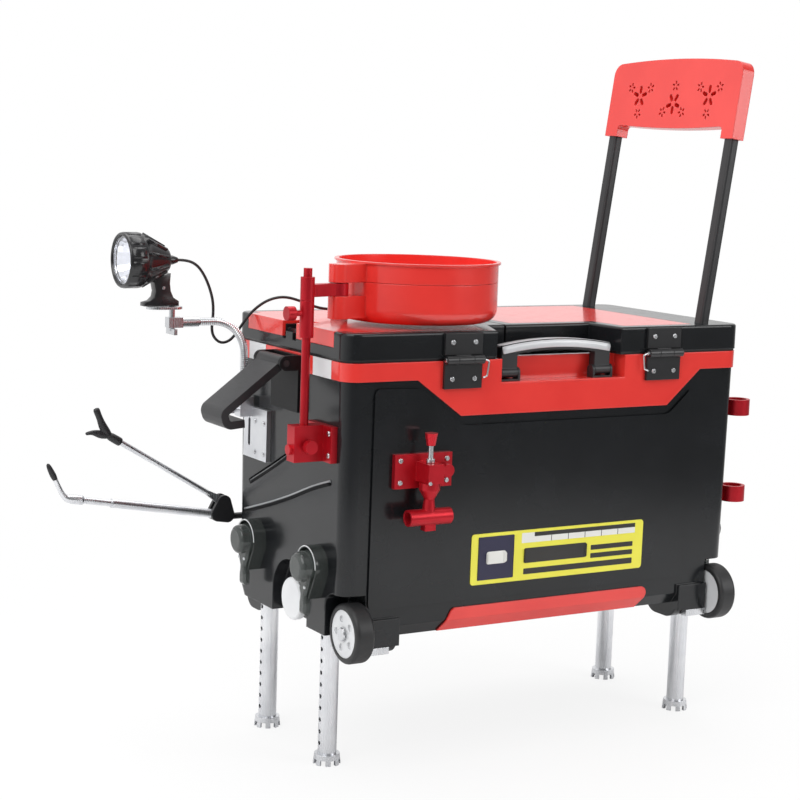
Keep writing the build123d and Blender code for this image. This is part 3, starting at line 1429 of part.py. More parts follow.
# Lamp bracket: ferrule of the gooseneck, stud with its wing nut and the bracket plate
lamp_stud_top = lamp_disc_z + lamp_stud_rise
with BuildPart() as lamp_bracket:
    ferrule_end = neck_end - 22
    stud_bottom = neck_height - 10
    add(rod((neck_end, lamp_y, neck_height), (ferrule_end, lamp_y, neck_height), ferrule_radius))
    add(block((lamp_pivot_x - 6, lamp_y - 6, neck_height - 6), (ferrule_end + 1, lamp_y + 6,
                                                                neck_height + 6)))
    add(rod((lamp_pivot_x, lamp_y, stud_bottom), (lamp_pivot_x, lamp_y, lamp_stud_top), lamp_stud_radius))
    for turn in end_sides:
        add(block((lamp_pivot_x - 2, min(lamp_y, lamp_y + turn * 12), stud_bottom - 4),
                  (lamp_pivot_x + 2, max(lamp_y, lamp_y + turn * 12), stud_bottom + 3)))
    with BuildSketch(Plane.XY.offset(lamp_disc_z)):
        with Locations((lamp_pivot_x - 10, lamp_y)):
            SlotOverall(44, 24)
    extrude(amount=lamp_disc_thickness)
lamp_bracket.part.label = "lamp_bracket"
export_step(lamp_bracket.part, "parts/lamp_bracket.step")

# Lamp head: turned housing on its base, and the lens
lamp_plane = Plane(origin=(0, lamp_y, lamp_z), x_dir=(1, 0, 0), z_dir=(0, -1, 0))
lamp_axis = Axis((0, lamp_y, lamp_z), (1, 0, 0))
bezel_end = lamp_front + lamp_bezel_length
lens_seat = lens_radius + gap
with BuildPart() as lamp_housing:
    with BuildSketch(lamp_plane):
        with BuildLine():
            Polyline((lamp_front, lens_seat), (lamp_front, lamp_bezel_radius),
                     (bezel_end, lamp_bezel_radius), (bezel_end, lamp_body_radius + 1),
                     (bezel_end + 14, lamp_body_radius + 0.5), (lamp_back - 8, lamp_tail_radius),
                     (lamp_back, lamp_tail_radius - 2), (lamp_back, lamp_gland_radius),
                     (lamp_gland_end, lamp_gland_radius - 1), (lamp_gland_end, 0),
                     (lamp_back - 10, 0), (lamp_back - 10, lamp_tail_radius - 5),
                     (bezel_end + 2, lens_seat - 1.5), (lamp_front + 2 * lens_thickness, lens_seat - 1.5),
                     (lamp_front + 2 * lens_thickness, lens_seat), close=True)
        make_face()
    revolve(axis=lamp_axis)
    base_floor = lamp_disc_z + lamp_disc_thickness + gap
    add(block((lamp_pivot_x - 34, lamp_y - lamp_base_width / 2, base_floor),
              (lamp_pivot_x + 6, lamp_y + lamp_base_width / 2, base_floor + 6)))
    add(block((lamp_back - 24, lamp_y - 6, base_floor), (lamp_back - 8, lamp_y + 6,
                                                         lamp_z - lamp_body_radius + 5)))
    add(rod((lamp_pivot_x, lamp_y, base_floor - 1), (lamp_pivot_x, lamp_y, lamp_stud_top + gap),
            lamp_stud_radius + running_fit), mode=Mode.SUBTRACT)
lamp_housing.part.label = "lamp_housing"
export_step(lamp_housing.part, "parts/lamp_housing.step")

with BuildPart() as lamp_lens:
    lens_face = lamp_front + 2 * lens_thickness - gap
    add(rod((lens_face, lamp_y, lamp_z), (lens_face - lens_thickness, lamp_y, lamp_z), lens_radius))
lamp_lens.part.label = "lamp_lens"
export_step(lamp_lens.part, "parts/lamp_lens.step")

# Lamp cord: leaves the gland, loops behind the gooseneck, rises over the end and runs into the grommet.
# Its route is measured from the rear left corner of the top.
cord_route = [
    (-100, -45, 65), (-88, -45, 65), (-74, -43, 59), (-63, -39, 47), (-54, -35, 32),
    (-48, -33, 15), (-47, -32, -2), (-49, -32, -15), (-47.5, -33, -27), (-38.5, -34, -35.5),
    (-27, -35, -33.5), (-18, -36, -24), (-10, -39, -10), (-1, -46, 5), (13, -56, 18),
    (30, -66, 23), (50, -75, 17), (72, -82, 8), (88, -82, 8),
]
cord_corner = Vector(-box_length / 2, box_width / 2, seat_height)
cord_points = [cord_corner + Vector(*point) for point in cord_route]
cord_radii = []
for before, here, after in zip(cord_points, cord_points[1:], cord_points[2:]):
    turn_angle = math.radians((here - before).get_angle(after - here))
    shorter = min((here - before).length, (after - here).length)
    cord_radii.append(0.45 * shorter / math.tan(turn_angle / 2))
print("cord radii", [round(radius, 1) for radius in cord_radii])
with BuildPart() as lamp_cord:
    with BuildLine() as cord_path:
        FilletPolyline(*cord_points, radius=cord_radii)
    with BuildSketch(Plane(origin=cord_path.line @ 0, z_dir=cord_path.line % 0)):
        Circle(cord_radius)
    sweep()
cord_length = sum(edge.length for edge in cord_path.edges())
cord_share = lamp_cord.part.volume / (math.pi * cord_radius ** 2 * cord_length)
print("cord length", round(cord_length, 1), "volume share", round(cord_share, 4))
lamp_cord.part.label = "lamp_cord"
export_step(lamp_cord.part, "parts/lamp_cord.step")

# Grommet where the cord goes down through the deck
with BuildPart() as cord_grommet:
    last = cord_points[-1]
    grommet_end = last.X + 2.4 * grommet_radius
    add(rod((last.X, last.Y, last.Z), (grommet_end, last.Y, last.Z), grommet_radius - 1))
    add(block((last.X + 1, last.Y - grommet_radius, seat_height), (grommet_end, last.Y + grommet_radius,
                                                                   last.Z)))
cord_grommet.part.label = "cord_grommet"
export_step(cord_grommet.part, "parts/cord_grommet.step")

# Rod rest: joint on the rear turret base, telescopic lower tube with a hook, and the fork arm
slope = Vector(rest_end_x - rest_thick_x, 0, rest_end_z - rest_thick_z).normalized()
thick_end = Vector(rest_thick_x, rest_y, rest_thick_z)
tube_start = thick_end - slope * rest_thick_length
tube_end = Vector(rest_end_x, rest_y, rest_end_z)
with BuildPart() as rest_lower_tube:
    add(rod(tube_start, thick_end, rest_tube_radius))
    add(rod(thick_end - slope, tube_end, rest_thin_radius))
rest_lower_tube.part.label = "rest_lower_tube"
export_step(rest_lower_tube.part, "parts/rest_lower_tube.step")

with BuildPart() as rest_joint:
    joint_right = rest_pivot_x + 15
    add(rod((joint_right - 2, rest_y, rest_z), (rest_base_x, rest_y, rest_z), rest_stub_radius))
    with BuildSketch(Plane.XZ.offset(-rest_y)):
        with Locations((rest_pivot_x, rest_pivot_z)):
            Circle(9)
        with Locations((rest_pivot_x + 5, rest_z + 3), (rest_pivot_x - 8, rest_z + 5)):
            Circle(9)
        make_hull()
    extrude(amount=8, both=True)
    add(rod(tube_start - slope, tube_end, rest_tube_radius + contact_gap), mode=Mode.SUBTRACT)
    slot_bottom = rest_pivot_z - rest_arm_radius - 6
    add(block((rest_pivot_x - 40, rest_y - 3 - gap, slot_bottom), (rest_pivot_x + 40, rest_y + 3 + gap,
                                                                   seat_height)),
        mode=Mode.SUBTRACT)
    add(rod((rest_pivot_x, rest_y - 8, rest_pivot_z), (rest_pivot_x, rest_y + 8, rest_pivot_z), 2.5))
rest_joint.part.label = "rest_joint"
export_step(rest_joint.part, "parts/rest_joint.step")

with BuildPart() as rest_hook:
    hook_start = tube_end - slope * 10
    hook_knee = tube_end + slope * 14
    hook_mid = hook_knee + Vector(-12, 0, 24)
    hook_tip = hook_mid + Vector(-9, 0, 19)
    add(rod(hook_start, hook_knee, rest_thin_radius + 2.2))
    add(rod(hook_knee - slope * 2, hook_mid, 3))
    add(rod(hook_mid, hook_tip, 4.4))
    with Locations(hook_tip, hook_mid):
        Sphere(4.4)
    add(rod(hook_start - slope, tube_end + slope * 0.2, rest_thin_radius + contact_gap), mode=Mode.SUBTRACT)
rest_hook.part.label = "rest_hook"
export_step(rest_hook.part, "parts/rest_hook.step")

arm_foot = Vector(arm_start_x, rest_y, arm_start_z)
arm_tip = Vector(arm_end_x, rest_y, arm_end_z)
arm_way = (arm_tip - arm_foot).normalized()
with BuildPart() as rest_upper_tube:
    add(rod(arm_foot, arm_tip, rest_arm_radius))
    with BuildSketch(Plane.XZ.offset(-rest_y)):
        with Locations((rest_pivot_x, rest_pivot_z)):
            Circle(6)
        with Locations((arm_start_x - 2, arm_start_z + 1)):
            Circle(3.4)
        make_hull()
        with Locations((rest_pivot_x, rest_pivot_z)):
            Circle(2.5 + running_fit, mode=Mode.SUBTRACT)
    extrude(amount=3, both=True)
rest_upper_tube.part.label = "rest_upper_tube"
export_step(rest_upper_tube.part, "parts/rest_upper_tube.step")

with BuildPart() as rest_fork:
    fork_root = arm_tip + arm_way * 14
    level_prong = fork_root + Vector(-fork_spread * 1.3, 0, 5)
    upright_prong = fork_root + Vector(-fork_spread * 0.5, 0, fork_spread * 1.7)
    add(rod(arm_tip - arm_way * 8, fork_root, rest_arm_radius + 1.8))
    for prong in (level_prong, upright_prong):
        add(rod(fork_root, prong, 3.6))
    with Locations(fork_root, level_prong, upright_prong):
        Sphere(4.6)
    add(rod(arm_foot, arm_tip + arm_way * 0.2, rest_arm_radius + contact_gap), mode=Mode.SUBTRACT)
rest_fork.part.label = "rest_fork"
export_step(rest_fork.part, "parts/rest_fork.step")


def screw(place, outward):
    """A pan head screw on a face."""
    seat = Vector(*place)
    way = Vector(*outward)
    with BuildPart() as head:
        with BuildSketch(Plane(origin=seat, z_dir=way)):
            Circle(screw_radius)
        extrude(amount=screw_height, taper=25)
    return head.part


hinge_screw_low = hinge_z - hinge_barrel - hinge_drop * 0.6
hinge_screw_high = hinge_z + hinge_barrel + hinge_rise * 0.6
with BuildPart() as panel_screws:
    for x in (hinge_left_x, hinge_right_x):
        for turn in end_sides:
            add(screw((x + turn * screw_spread, leaf_back - hinge_leaf, hinge_screw_low), (0, -1, 0)))
    for turn in end_sides:
        add(screw((hinge_left_x + turn * screw_spread, front_y - hinge_leaf, hinge_screw_high), (0, -1, 0)))
    for x, side, z in ((turret_x, -1, turret_z), (rest_base_x, 1, rest_z)):
        for turn in end_sides:
            for up in end_sides:
                add(screw((x + turn * (turret_plate_length / 2 - turret_screw_in),
                           side * (box_width / 2 + turret_plate),
                           z + up * (turret_plate_height / 2 - turret_screw_in)), (0, side, 0)))
    for up in (0.2, 0.8):
        add(screw((end_x - clamp_plate, clamp_plate_y - half_plate + 6, clamp_bottom + up * clamp_height),
                  (-1, 0, 0)))
        add(screw((box_length / 2 + umbrella_plate, plate_inner_y - 9,
                   umbrella_lower_z + umbrella_ring_height + up * umbrella_free), (1, 0, 0)))
        for across in (0.12, 0.5):
            add(screw((end_x - lamp_plate_thickness, plate_left + across * lamp_plate_width,
                       lamp_plate_bottom + up * lamp_plate_height - 4), (-1, 0, 0)))
panel_screws.part.label = "panel_screws"
export_step(panel_screws.part, "parts/panel_screws.step")

with BuildPart() as seat_hinge_screws:
    for turn in end_sides:
        add(screw((hinge_right_x + turn * screw_spread, front_y - hinge_leaf, hinge_screw_high), (0, -1,
                                                                                                  0)))
seat_hinge_screws.part.label = "seat_hinge_screws"
export_step(seat_hinge_screws.part, "parts/seat_hinge_screws.step")
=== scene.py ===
# %% [markdown]
# Fishing seat box, dressed for the camera.
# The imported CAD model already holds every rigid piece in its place, so this script starts from that frame
# and never moves it. It adds the finishes, the lamp's cord and the small trim that a drawing leaves out.

# %% Load the frame
import json
import math

import bmesh
import bpy
from mathutils import Matrix, Vector


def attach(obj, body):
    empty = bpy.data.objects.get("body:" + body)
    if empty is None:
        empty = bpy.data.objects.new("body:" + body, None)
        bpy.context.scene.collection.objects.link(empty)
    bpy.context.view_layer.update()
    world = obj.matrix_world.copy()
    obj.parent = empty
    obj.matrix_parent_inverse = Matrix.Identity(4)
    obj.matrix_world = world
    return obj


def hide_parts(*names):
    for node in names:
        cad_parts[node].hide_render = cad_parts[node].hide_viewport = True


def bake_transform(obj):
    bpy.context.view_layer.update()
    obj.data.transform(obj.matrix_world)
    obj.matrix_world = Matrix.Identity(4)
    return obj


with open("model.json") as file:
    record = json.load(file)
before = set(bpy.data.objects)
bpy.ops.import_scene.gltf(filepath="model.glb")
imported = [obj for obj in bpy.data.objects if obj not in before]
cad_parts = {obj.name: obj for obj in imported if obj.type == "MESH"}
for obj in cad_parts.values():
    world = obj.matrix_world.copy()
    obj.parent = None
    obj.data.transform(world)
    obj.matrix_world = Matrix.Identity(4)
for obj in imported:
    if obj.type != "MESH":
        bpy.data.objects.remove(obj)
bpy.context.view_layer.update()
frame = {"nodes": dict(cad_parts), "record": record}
nodes = frame["nodes"]

# %% [markdown]
# The camera stands where the photographer stood: low, to the left of the front, with a long lens.
# Its place and turn are written as a compass angle, a height angle and a small roll, because those three
# can be checked by eye. A matrix built from the three directions puts the camera there in one step.

# %% Camera
photo_width = 800
focal_pixels = 1858.6
sensor_width = 36.0
eye = Vector((-1.2599, -1.9087, 0.7161))
azimuth, elevation, roll = (math.radians(a) for a in (-30.668, 7.844, 1.936))

back = Vector((math.sin(azimuth) * math.cos(elevation), -math.cos(azimuth) * math.cos(elevation),
               math.sin(elevation)))
level = Vector((math.cos(azimuth), math.sin(azimuth), 0))
upright = back.cross(level)
camera_x = level * math.cos(roll) + upright * math.sin(roll)
camera_y = upright * math.cos(roll) - level * math.sin(roll)

lens = bpy.data.cameras.new("photo_lens")
lens.sensor_width = sensor_width
lens.lens = sensor_width * focal_pixels / photo_width
camera = bpy.data.objects.new("photo_camera", lens)
bpy.context.scene.collection.objects.link(camera)
turn = Matrix((camera_x, camera_y, back)).transposed().to_4x4()
camera.matrix_world = Matrix.Translation(eye) @ turn
bpy.context.scene.camera = camera
print("camera: lens", round(lens.lens, 2), "mm")

# %% [markdown]
# The lamp's lead is a thin limp cable. It leaves the gland behind the lamp, drops past the gooseneck in a
# small loop and runs over the corner of the deck to the grommet. A NURBS line with a round bevel keeps the
# bends smooth, and the curve is turned into a mesh.

# %% Lamp cord
cord_diameter = 0.0034
cord_route_mm = [(-380, 95, 573), (-368, 95, 573), (-354, 97, 567), (-343, 101, 555), (-334, 105, 540),
                 (-328, 107, 523), (-327, 108, 506), (-329, 108, 493), (-327.5, 107, 481), (-318.5, 106, 472.5),
                 (-307, 105, 474.5), (-298, 104, 484), (-290, 101, 498), (-281, 94, 513), (-267, 84, 526),
                 (-250, 74, 531), (-230, 65, 525), (-208, 58, 516), (-192, 58, 516)]


def cord_curve(name, bevel):
    """The cord's route as a NURBS curve, with a round section where bevel is not zero."""
    curve = bpy.data.curves.new(name, "CURVE")
    curve.dimensions = "3D"
    curve.resolution_u = 10
    curve.bevel_depth = bevel
    curve.bevel_resolution = 5
    curve.use_fill_caps = bevel > 0
    spline = curve.splines.new("NURBS")
    spline.points.add(len(cord_route_mm) - 1)
    for point, place in zip(spline.points, cord_route_mm):
        point.co = (*(Vector(place) / 1000), 1)
    spline.order_u = 3
    spline.use_endpoint_u = True
    return bpy.data.objects.new(name, curve)


line = cord_curve("cord_line", 0)
line_mesh = bpy.data.meshes.new_from_object(line)
tube = cord_curve("cord_tube", cord_diameter / 2)
cord = bpy.data.objects.new("lamp_lead", bpy.data.meshes.new_from_object(tube))
bpy.context.scene.collection.objects.link(cord)
for face in cord.data.polygons:
    face.use_smooth = True
for spare in (line, tube):
    bpy.data.objects.remove(spare)
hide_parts("lamp_cord")
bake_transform(cord)

# %% [markdown]
# Moulded plastic is never one even colour: the melt leaves a faint mottle, the mould leaves a fine grain,
# and handling leaves hair scratches. These effects return on most pieces, so each is a small shader group.
# A group only puts out masks and heights; the shader that uses them stays in the material.

# %% Shared effects
def effect_group(name, sockets_in, sockets_out):
    """An empty shader group with named float or vector inputs and float outputs."""
    group = bpy.data.node_groups.new(name, "ShaderNodeTree")
    for label, kind, value in sockets_in:
        socket = group.interface.new_socket(name=label, in_out="INPUT", socket_type=kind)
        socket.default_value = value
    for label in sockets_out:
        group.interface.new_socket(name=label, in_out="OUTPUT", socket_type="NodeSocketFloat")
    return group, group.nodes.new("NodeGroupInput"), group.nodes.new("NodeGroupOutput")


def noise_in(group, vector, scale, detail):
    """A noise texture on a vector socket; scale is a number or another socket."""
    noise = group.nodes.new("ShaderNodeTexNoise")
    noise.inputs["Detail"].default_value = detail
    group.links.new(vector, noise.inputs["Vector"])
    if isinstance(scale, (int, float)):
        noise.inputs["Scale"].default_value = scale
    else:
        group.links.new(scale, noise.inputs["Scale"])
    return noise.outputs["Fac"]


def range_in(group, value, low, high, to_low=0.0, to_high=1.0):
    """A value squeezed from one range into another."""
    node = group.nodes.new("ShaderNodeMapRange")
    node.inputs["From Min"].default_value = low
    node.inputs["From Max"].default_value = high
    node.inputs["To Min"].default_value = to_low
    node.inputs["To Max"].default_value = to_high
    group.links.new(value, node.inputs["Value"])
    return node.outputs["Result"]


def stretched(group, vector, scale):
    """A vector stretched by a fixed scale or by a vector socket."""
    node = group.nodes.new("ShaderNodeVectorMath")
    node.operation = "MULTIPLY"
    group.links.new(vector, node.inputs[0])
    if isinstance(scale, tuple):
        node.inputs[1].default_value = scale
    else:
        group.links.new(scale, node.inputs[1])
    return node.outputs["Vector"]


moulded, m_in, m_out = effect_group("moulded", [("Grain", "NodeSocketFloat", 900.0)],
                                    ["Height", "Mottle", "Scratch"])
m_place = moulded.nodes.new("ShaderNodeTexCoord").outputs["Object"]
moulded.links.new(noise_in(moulded, m_place, m_in.outputs["Grain"], 2.0), m_out.inputs["Height"])
moulded.links.new(range_in(moulded, noise_in(moulded, m_place, 14.0, 3.0), 0.3, 0.7), m_out.inputs["Mottle"])
hairs = noise_in(moulded, stretched(moulded, m_place, (60.0, 60.0, 900.0)), 1.0, 4.0)
moulded.links.new(range_in(moulded, hairs, 0.5, 0.8), m_out.inputs["Scratch"])

brushed, b_in, b_out = effect_group("brushed", [("Stretch", "NodeSocketVector", (1500.0, 1500.0, 12.0))],
                                    ["Lines", "Cloud"])
b_place = brushed.nodes.new("ShaderNodeTexCoord").outputs["Object"]
lines = noise_in(brushed, stretched(brushed, b_place, b_in.outputs["Stretch"]), 1.0, 2.0)
brushed.links.new(lines, b_out.inputs["Lines"])
brushed.links.new(range_in(brushed, noise_in(brushed, b_place, 22.0, 3.0), 0.3, 0.7), b_out.inputs["Cloud"])
print("effects:", moulded.name, brushed.name)

# %% [markdown]
# Every finish follows one recipe: two close tones mixed by an effect, a roughness that the same effect
# varies, and a bump on top of a slightly rounded edge. The Bevel node rounds the shading of the drawing's
# sharp edges, which gives the thin highlight that a real moulded or machined edge shows.

# %% Recipes for plastic and metal
def shader_material(name):
    """A material with one Principled shader and nothing else."""
    material = bpy.data.materials.new(name)
    material.use_nodes = True
    tree = material.node_tree
    tree.nodes.clear()
    out = tree.nodes.new("ShaderNodeOutputMaterial")
    shader = tree.nodes.new("ShaderNodeBsdfPrincipled")
    tree.links.new(shader.outputs["BSDF"], out.inputs["Surface"])
    return material, tree, shader


def two_tones(tree, factor, light, dark):
    """A colour between two tones by a factor socket."""
    mix = tree.nodes.new("ShaderNodeMix")
    mix.data_type = "RGBA"
    mix.inputs["A"].default_value = (*dark, 1)
    mix.inputs["B"].default_value = (*light, 1)
    tree.links.new(factor, mix.inputs["Factor"])
    return mix.outputs["Result"]


def soft_edge_bump(tree, shader, height, strength, depth, edge):
    """A fine bump over edges that are rounded in the shading."""
    rounded = tree.nodes.new("ShaderNodeBevel")
    rounded.samples = 6
    rounded.inputs["Radius"].default_value = edge
    bump = tree.nodes.new("ShaderNodeBump")
    bump.inputs["Strength"].default_value = strength
    bump.inputs["Distance"].default_value = depth
    tree.links.new(height, bump.inputs["Height"])
    tree.links.new(rounded.outputs["Normal"], bump.inputs["Normal"])
    tree.links.new(bump.outputs["Normal"], shader.inputs["Normal"])


def plastic(name, light, dark, rough, grain=900.0, depth=0.00004, edge=0.0012, specular=0.5, coat=0.0):
    """Moulded plastic or paint: mottled colour, hair scratches and a mould grain."""
    material, tree, shader = shader_material(name)
    effect = tree.nodes.new("ShaderNodeGroup")
    effect.node_tree = moulded
    effect.inputs["Grain"].default_value = grain
    tree.links.new(two_tones(tree, effect.outputs["Mottle"], light, dark), shader.inputs["Base Color"])
    tree.links.new(range_in(tree, effect.outputs["Scratch"], 0, 1, rough, rough + 0.05), shader.inputs["Roughness"])
    shader.inputs["Specular IOR Level"].default_value = specular
    shader.inputs["Coat Weight"].default_value = coat
    shader.inputs["Coat Roughness"].default_value = 0.08
    soft_edge_bump(tree, shader, effect.outputs["Height"], 0.35, depth, edge)
    return material


def metal(name, light, dark, rough, stretch=(1500.0, 1500.0, 12.0), depth=0.00003, edge=0.0008, metallic=1.0):
    """Brushed or anodised metal: fine lines along one direction and a cloudy tone."""
    material, tree, shader = shader_material(name)
    effect = tree.nodes.new("ShaderNodeGroup")
    effect.node_tree = brushed
    effect.inputs["Stretch"].default_value = stretch
    tree.links.new(two_tones(tree, effect.outputs["Cloud"], light, dark), shader.inputs["Base Color"])
    tree.links.new(range_in(tree, effect.outputs["Lines"], 0.3, 0.7, rough - 0.06, rough + 0.08),
                   shader.inputs["Roughness"])
    shader.inputs["Metallic"].default_value = metallic
    soft_edge_bump(tree, shader, effect.outputs["Lines"], 0.3, depth, edge)
    return material


finishes = {
    "black_gloss": plastic("black_gloss_abs", (0.013, 0.014, 0.016), (0.008, 0.009, 0.010), 0.18, edge=0.002,
                           specular=0.4),
    "black_matte": plastic("black_nylon", (0.022, 0.022, 0.024), (0.013, 0.013, 0.015), 0.42, grain=1400.0,
                           depth=0.0001),
    "red_gloss": plastic("red_abs", (0.84, 0.045, 0.035), (0.77, 0.034, 0.027), 0.22, edge=0.0018, coat=0.4),
    "red_metal": metal("red_anodised", (0.56, 0.010, 0.022), (0.42, 0.006, 0.014), 0.34, metallic=0.55),
    "white_plastic": plastic("white_nylon", (0.80, 0.81, 0.82), (0.72, 0.73, 0.75), 0.38),
    "pale_liner": plastic("pale_liner_hips", (0.78, 0.80, 0.81), (0.70, 0.72, 0.74), 0.35),
    "foam": plastic("foam_core_pu", (0.80, 0.70, 0.42), (0.68, 0.58, 0.33), 0.9, grain=500.0, depth=0.0006),
    "tube_aluminium": metal("tube_aluminium", (0.80, 0.81, 0.83), (0.66, 0.67, 0.70), 0.30),
    "plate_aluminium": metal("plate_aluminium", (0.76, 0.77, 0.79), (0.62, 0.63, 0.66), 0.34),
    "steel": metal("zinc_steel", (0.72, 0.73, 0.75), (0.55, 0.56, 0.58), 0.26),
    "black_metal": plastic("black_painted_steel", (0.018, 0.018, 0.020), (0.011, 0.011, 0.012), 0.30, grain=1800.0),
    "hub_silver": plastic("silver_hub_paint", (0.74, 0.75, 0.76), (0.62, 0.63, 0.65), 0.24, coat=0.4),
    "tyre_black": plastic("tyre_rubber", (0.020, 0.020, 0.021), (0.012, 0.012, 0.013), 0.45, grain=1600.0,
                          depth=0.0001),
    "seal_rubber": plastic("seal_rubber", (0.022, 0.022, 0.022), (0.012, 0.012, 0.012), 0.6, grain=1600.0),
    "cord_black": plastic("cord_sheath", (0.020, 0.020, 0.021), (0.012, 0.012, 0.013), 0.4, grain=2000.0),
    "silver_plastic": plastic("silver_grip", (0.66, 0.67, 0.69), (0.55, 0.56, 0.58), 0.22, coat=0.4),
}
print("finishes:", len(finishes))

# %% [markdown]
# The lock covers are tinted see-through caps and the lamp has a clear lens. Both are a plain Principled
# shader with transmission; the tint lies in the base colour.

# %% See-through finishes
def clear_plastic(name, light, dark, rough, transmission, ior):
    """A see-through plastic with a faint mottle in its tint."""
    material, tree, shader = shader_material(name)
    effect = tree.nodes.new("ShaderNodeGroup")
    effect.node_tree = moulded
    tree.links.new(two_tones(tree, effect.outputs["Mottle"], light, dark), shader.inputs["Base Color"])
    tree.links.new(range_in(tree, effect.outputs["Scratch"], 0, 1, rough, rough + 0.1), shader.inputs["Roughness"])
    shader.inputs["Transmission Weight"].default_value = transmission
    shader.inputs["IOR"].default_value = ior
    soft_edge_bump(tree, shader, effect.outputs["Height"], 0.15, 0.00003, 0.001)
    return material


finishes["smoke_plastic"] = clear_plastic("smoke_cover", (0.110, 0.122, 0.117), (0.060, 0.070, 0.066),
                                          rough=0.05, transmission=0.45, ior=1.49)
finishes["lens_clear"] = clear_plastic("lamp_lens_clear", (0.97, 0.98, 1.0), (0.93, 0.95, 1.0),
                                       rough=0.03, transmission=1.0, ior=1.45)
print("finishes with clear ones:", len(finishes))

# %% [markdown]
# The record says which slot each CAD node takes. Reading the slots from there keeps this list short and
# keeps the finishes in step with the record.

# %% Dress the CAD nodes
slot_of = {}
for part in frame["record"]["subparts"]:
    slot_of[part["node"]] = part["material_slot"]


def dress(piece, material):
    """Gives a piece one material in place of whatever it came with."""
    piece.data.materials.clear()
    piece.data.materials.append(material)


for name, node in nodes.items():
    dress(node, finishes[slot_of[name]])
bracket_black = plastic("bracket_black", (0.009, 0.009, 0.010), (0.005, 0.005, 0.006), 0.45, specular=0.2)
dress(nodes["tow_bracket"], bracket_black)
dress(cord, finishes["cord_black"])
print("dressed:", len(nodes))

# %% [markdown]
# The drawing holds the rigid shapes. The small trim on top of them is modelled here, each as a piece of its
# own that rides on the body it is fixed to. One helper turns a finished bmesh into such a piece.

# %% Helper for added pieces
def add_piece(name, shape, body, slot, *materials, smooth=True):
    """Makes a piece from a bmesh, dresses it and lets it ride on a body of the frame."""
    bmesh.ops.remove_doubles(shape, verts=shape.verts, dist=1e-6)
    bmesh.ops.recalc_face_normals(shape, faces=shape.faces)
    mesh = bpy.data.meshes.new(name)
    shape.to_mesh(mesh)
    shape.free()
    piece = bpy.data.objects.new(name, mesh)
    bpy.context.scene.collection.objects.link(piece)
    for material in materials:
        mesh.materials.append(material)
    for face in mesh.polygons:
        face.use_smooth = smooth
    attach(piece, body)
    print(name + ":", len(mesh.polygons), "faces on", body)
    return piece


def soften(piece, levels):
    """A subdivision surface that looks the same in the view and in the render."""
    modifier = piece.modifiers.new("soft", "SUBSURF")
    modifier.levels = levels
    modifier.render_levels = levels


mm = 0.001

# %% [markdown]
# The front wall of the box is not one flat sheet: a field is pressed out a few millimetres, and its slanting
# border catches the light under the red band. The wall leans outwards to the top, so each corner of the
# outline is set on the wall first. An inset with a depth then lifts the field and slants its border at once.

# %% Raised field of the front wall
wall_foot_z, wall_foot_y = 172.0, -136.0
wall_top_z, wall_top_y = 475.0, -138.0


def front_wall(z):
    """The depth of the front wall at a height, in millimetres."""
    share = (z - wall_foot_z) / (wall_top_z - wall_foot_z)
    return wall_foot_y + share * (wall_top_y - wall_foot_y)


field_corners = [(-243, 194), (-243, 446), (-183, 444.5), (-126, 400), (171, 400), (206, 431), (206, 194)]
field_rise = 2.6
field_border = 8.0
shape = bmesh.new()
corners = [shape.verts.new((x * mm, (front_wall(z) + 0.1) * mm, z * mm)) for x, z in field_corners]
field = shape.faces.new(corners)
field.normal_update()
if field.normal.y > 0:
    field.normal_flip()
bmesh.ops.bevel(shape, geom=corners, offset=7 * mm, offset_type="OFFSET", affect="VERTICES", segments=4,
                profile=0.5, material=-1)
bmesh.ops.inset_region(shape, faces=list(shape.faces), thickness=field_border * mm, depth=field_rise * mm,
                       use_even_offset=True)
add_piece("front_field", shape, "box", "black_gloss", finishes["black_gloss"], smooth=False)

# %% [markdown]
# A yellow plate is stuck to the field above the bumper. It stays free of words: a dark block, a white strip
# and plain bars only keep the layout of such a plate. All of it is one piece with several materials, built
# from thin blocks whose corners are rounded by a bevel.

# %% Plate on the front
plate_yellow = plastic("plate_yellow", (0.90, 0.85, 0.085), (0.85, 0.79, 0.070), 0.30, edge=0.0004)
plate_navy = plastic("plate_navy", (0.022, 0.020, 0.060), (0.015, 0.014, 0.046), 0.30, edge=0.0002)
plate_white = plastic("plate_white", (0.86, 0.86, 0.82), (0.80, 0.80, 0.76), 0.34, edge=0.0002)
plate_ink = plastic("plate_ink", (0.030, 0.028, 0.026), (0.020, 0.019, 0.018), 0.36, edge=0.0002)


def plate_block(shape, x0, x1, z0, z1, lift, thick, corner, material):
    """A thin block on the field of the front wall, with rounded corners and one material."""
    made = bmesh.ops.create_cube(shape, size=1.0)["verts"]
    middle = Vector(((x0 + x1) / 2, 0, (z0 + z1) / 2))
    size = Vector((x1 - x0, thick, z1 - z0))
    bmesh.ops.scale(shape, vec=size * mm, verts=made)
    bmesh.ops.translate(shape, vec=middle * mm, verts=made)
    for vert in made:
        depth = front_wall(vert.co.z / mm) - field_rise - lift
        vert.co.y += (depth - thick / 2) * mm
    upright = {e for v in made for e in v.link_edges if abs(e.verts[0].co.y - e.verts[1].co.y) > thick * mm / 2}
    faces = {f for v in made for f in v.link_faces}
    for face in faces:
        face.material_index = material
    if corner:
        bmesh.ops.bevel(shape, geom=list(upright), offset=corner * mm, affect="EDGES", segments=5, profile=0.5,
                        material=-1)


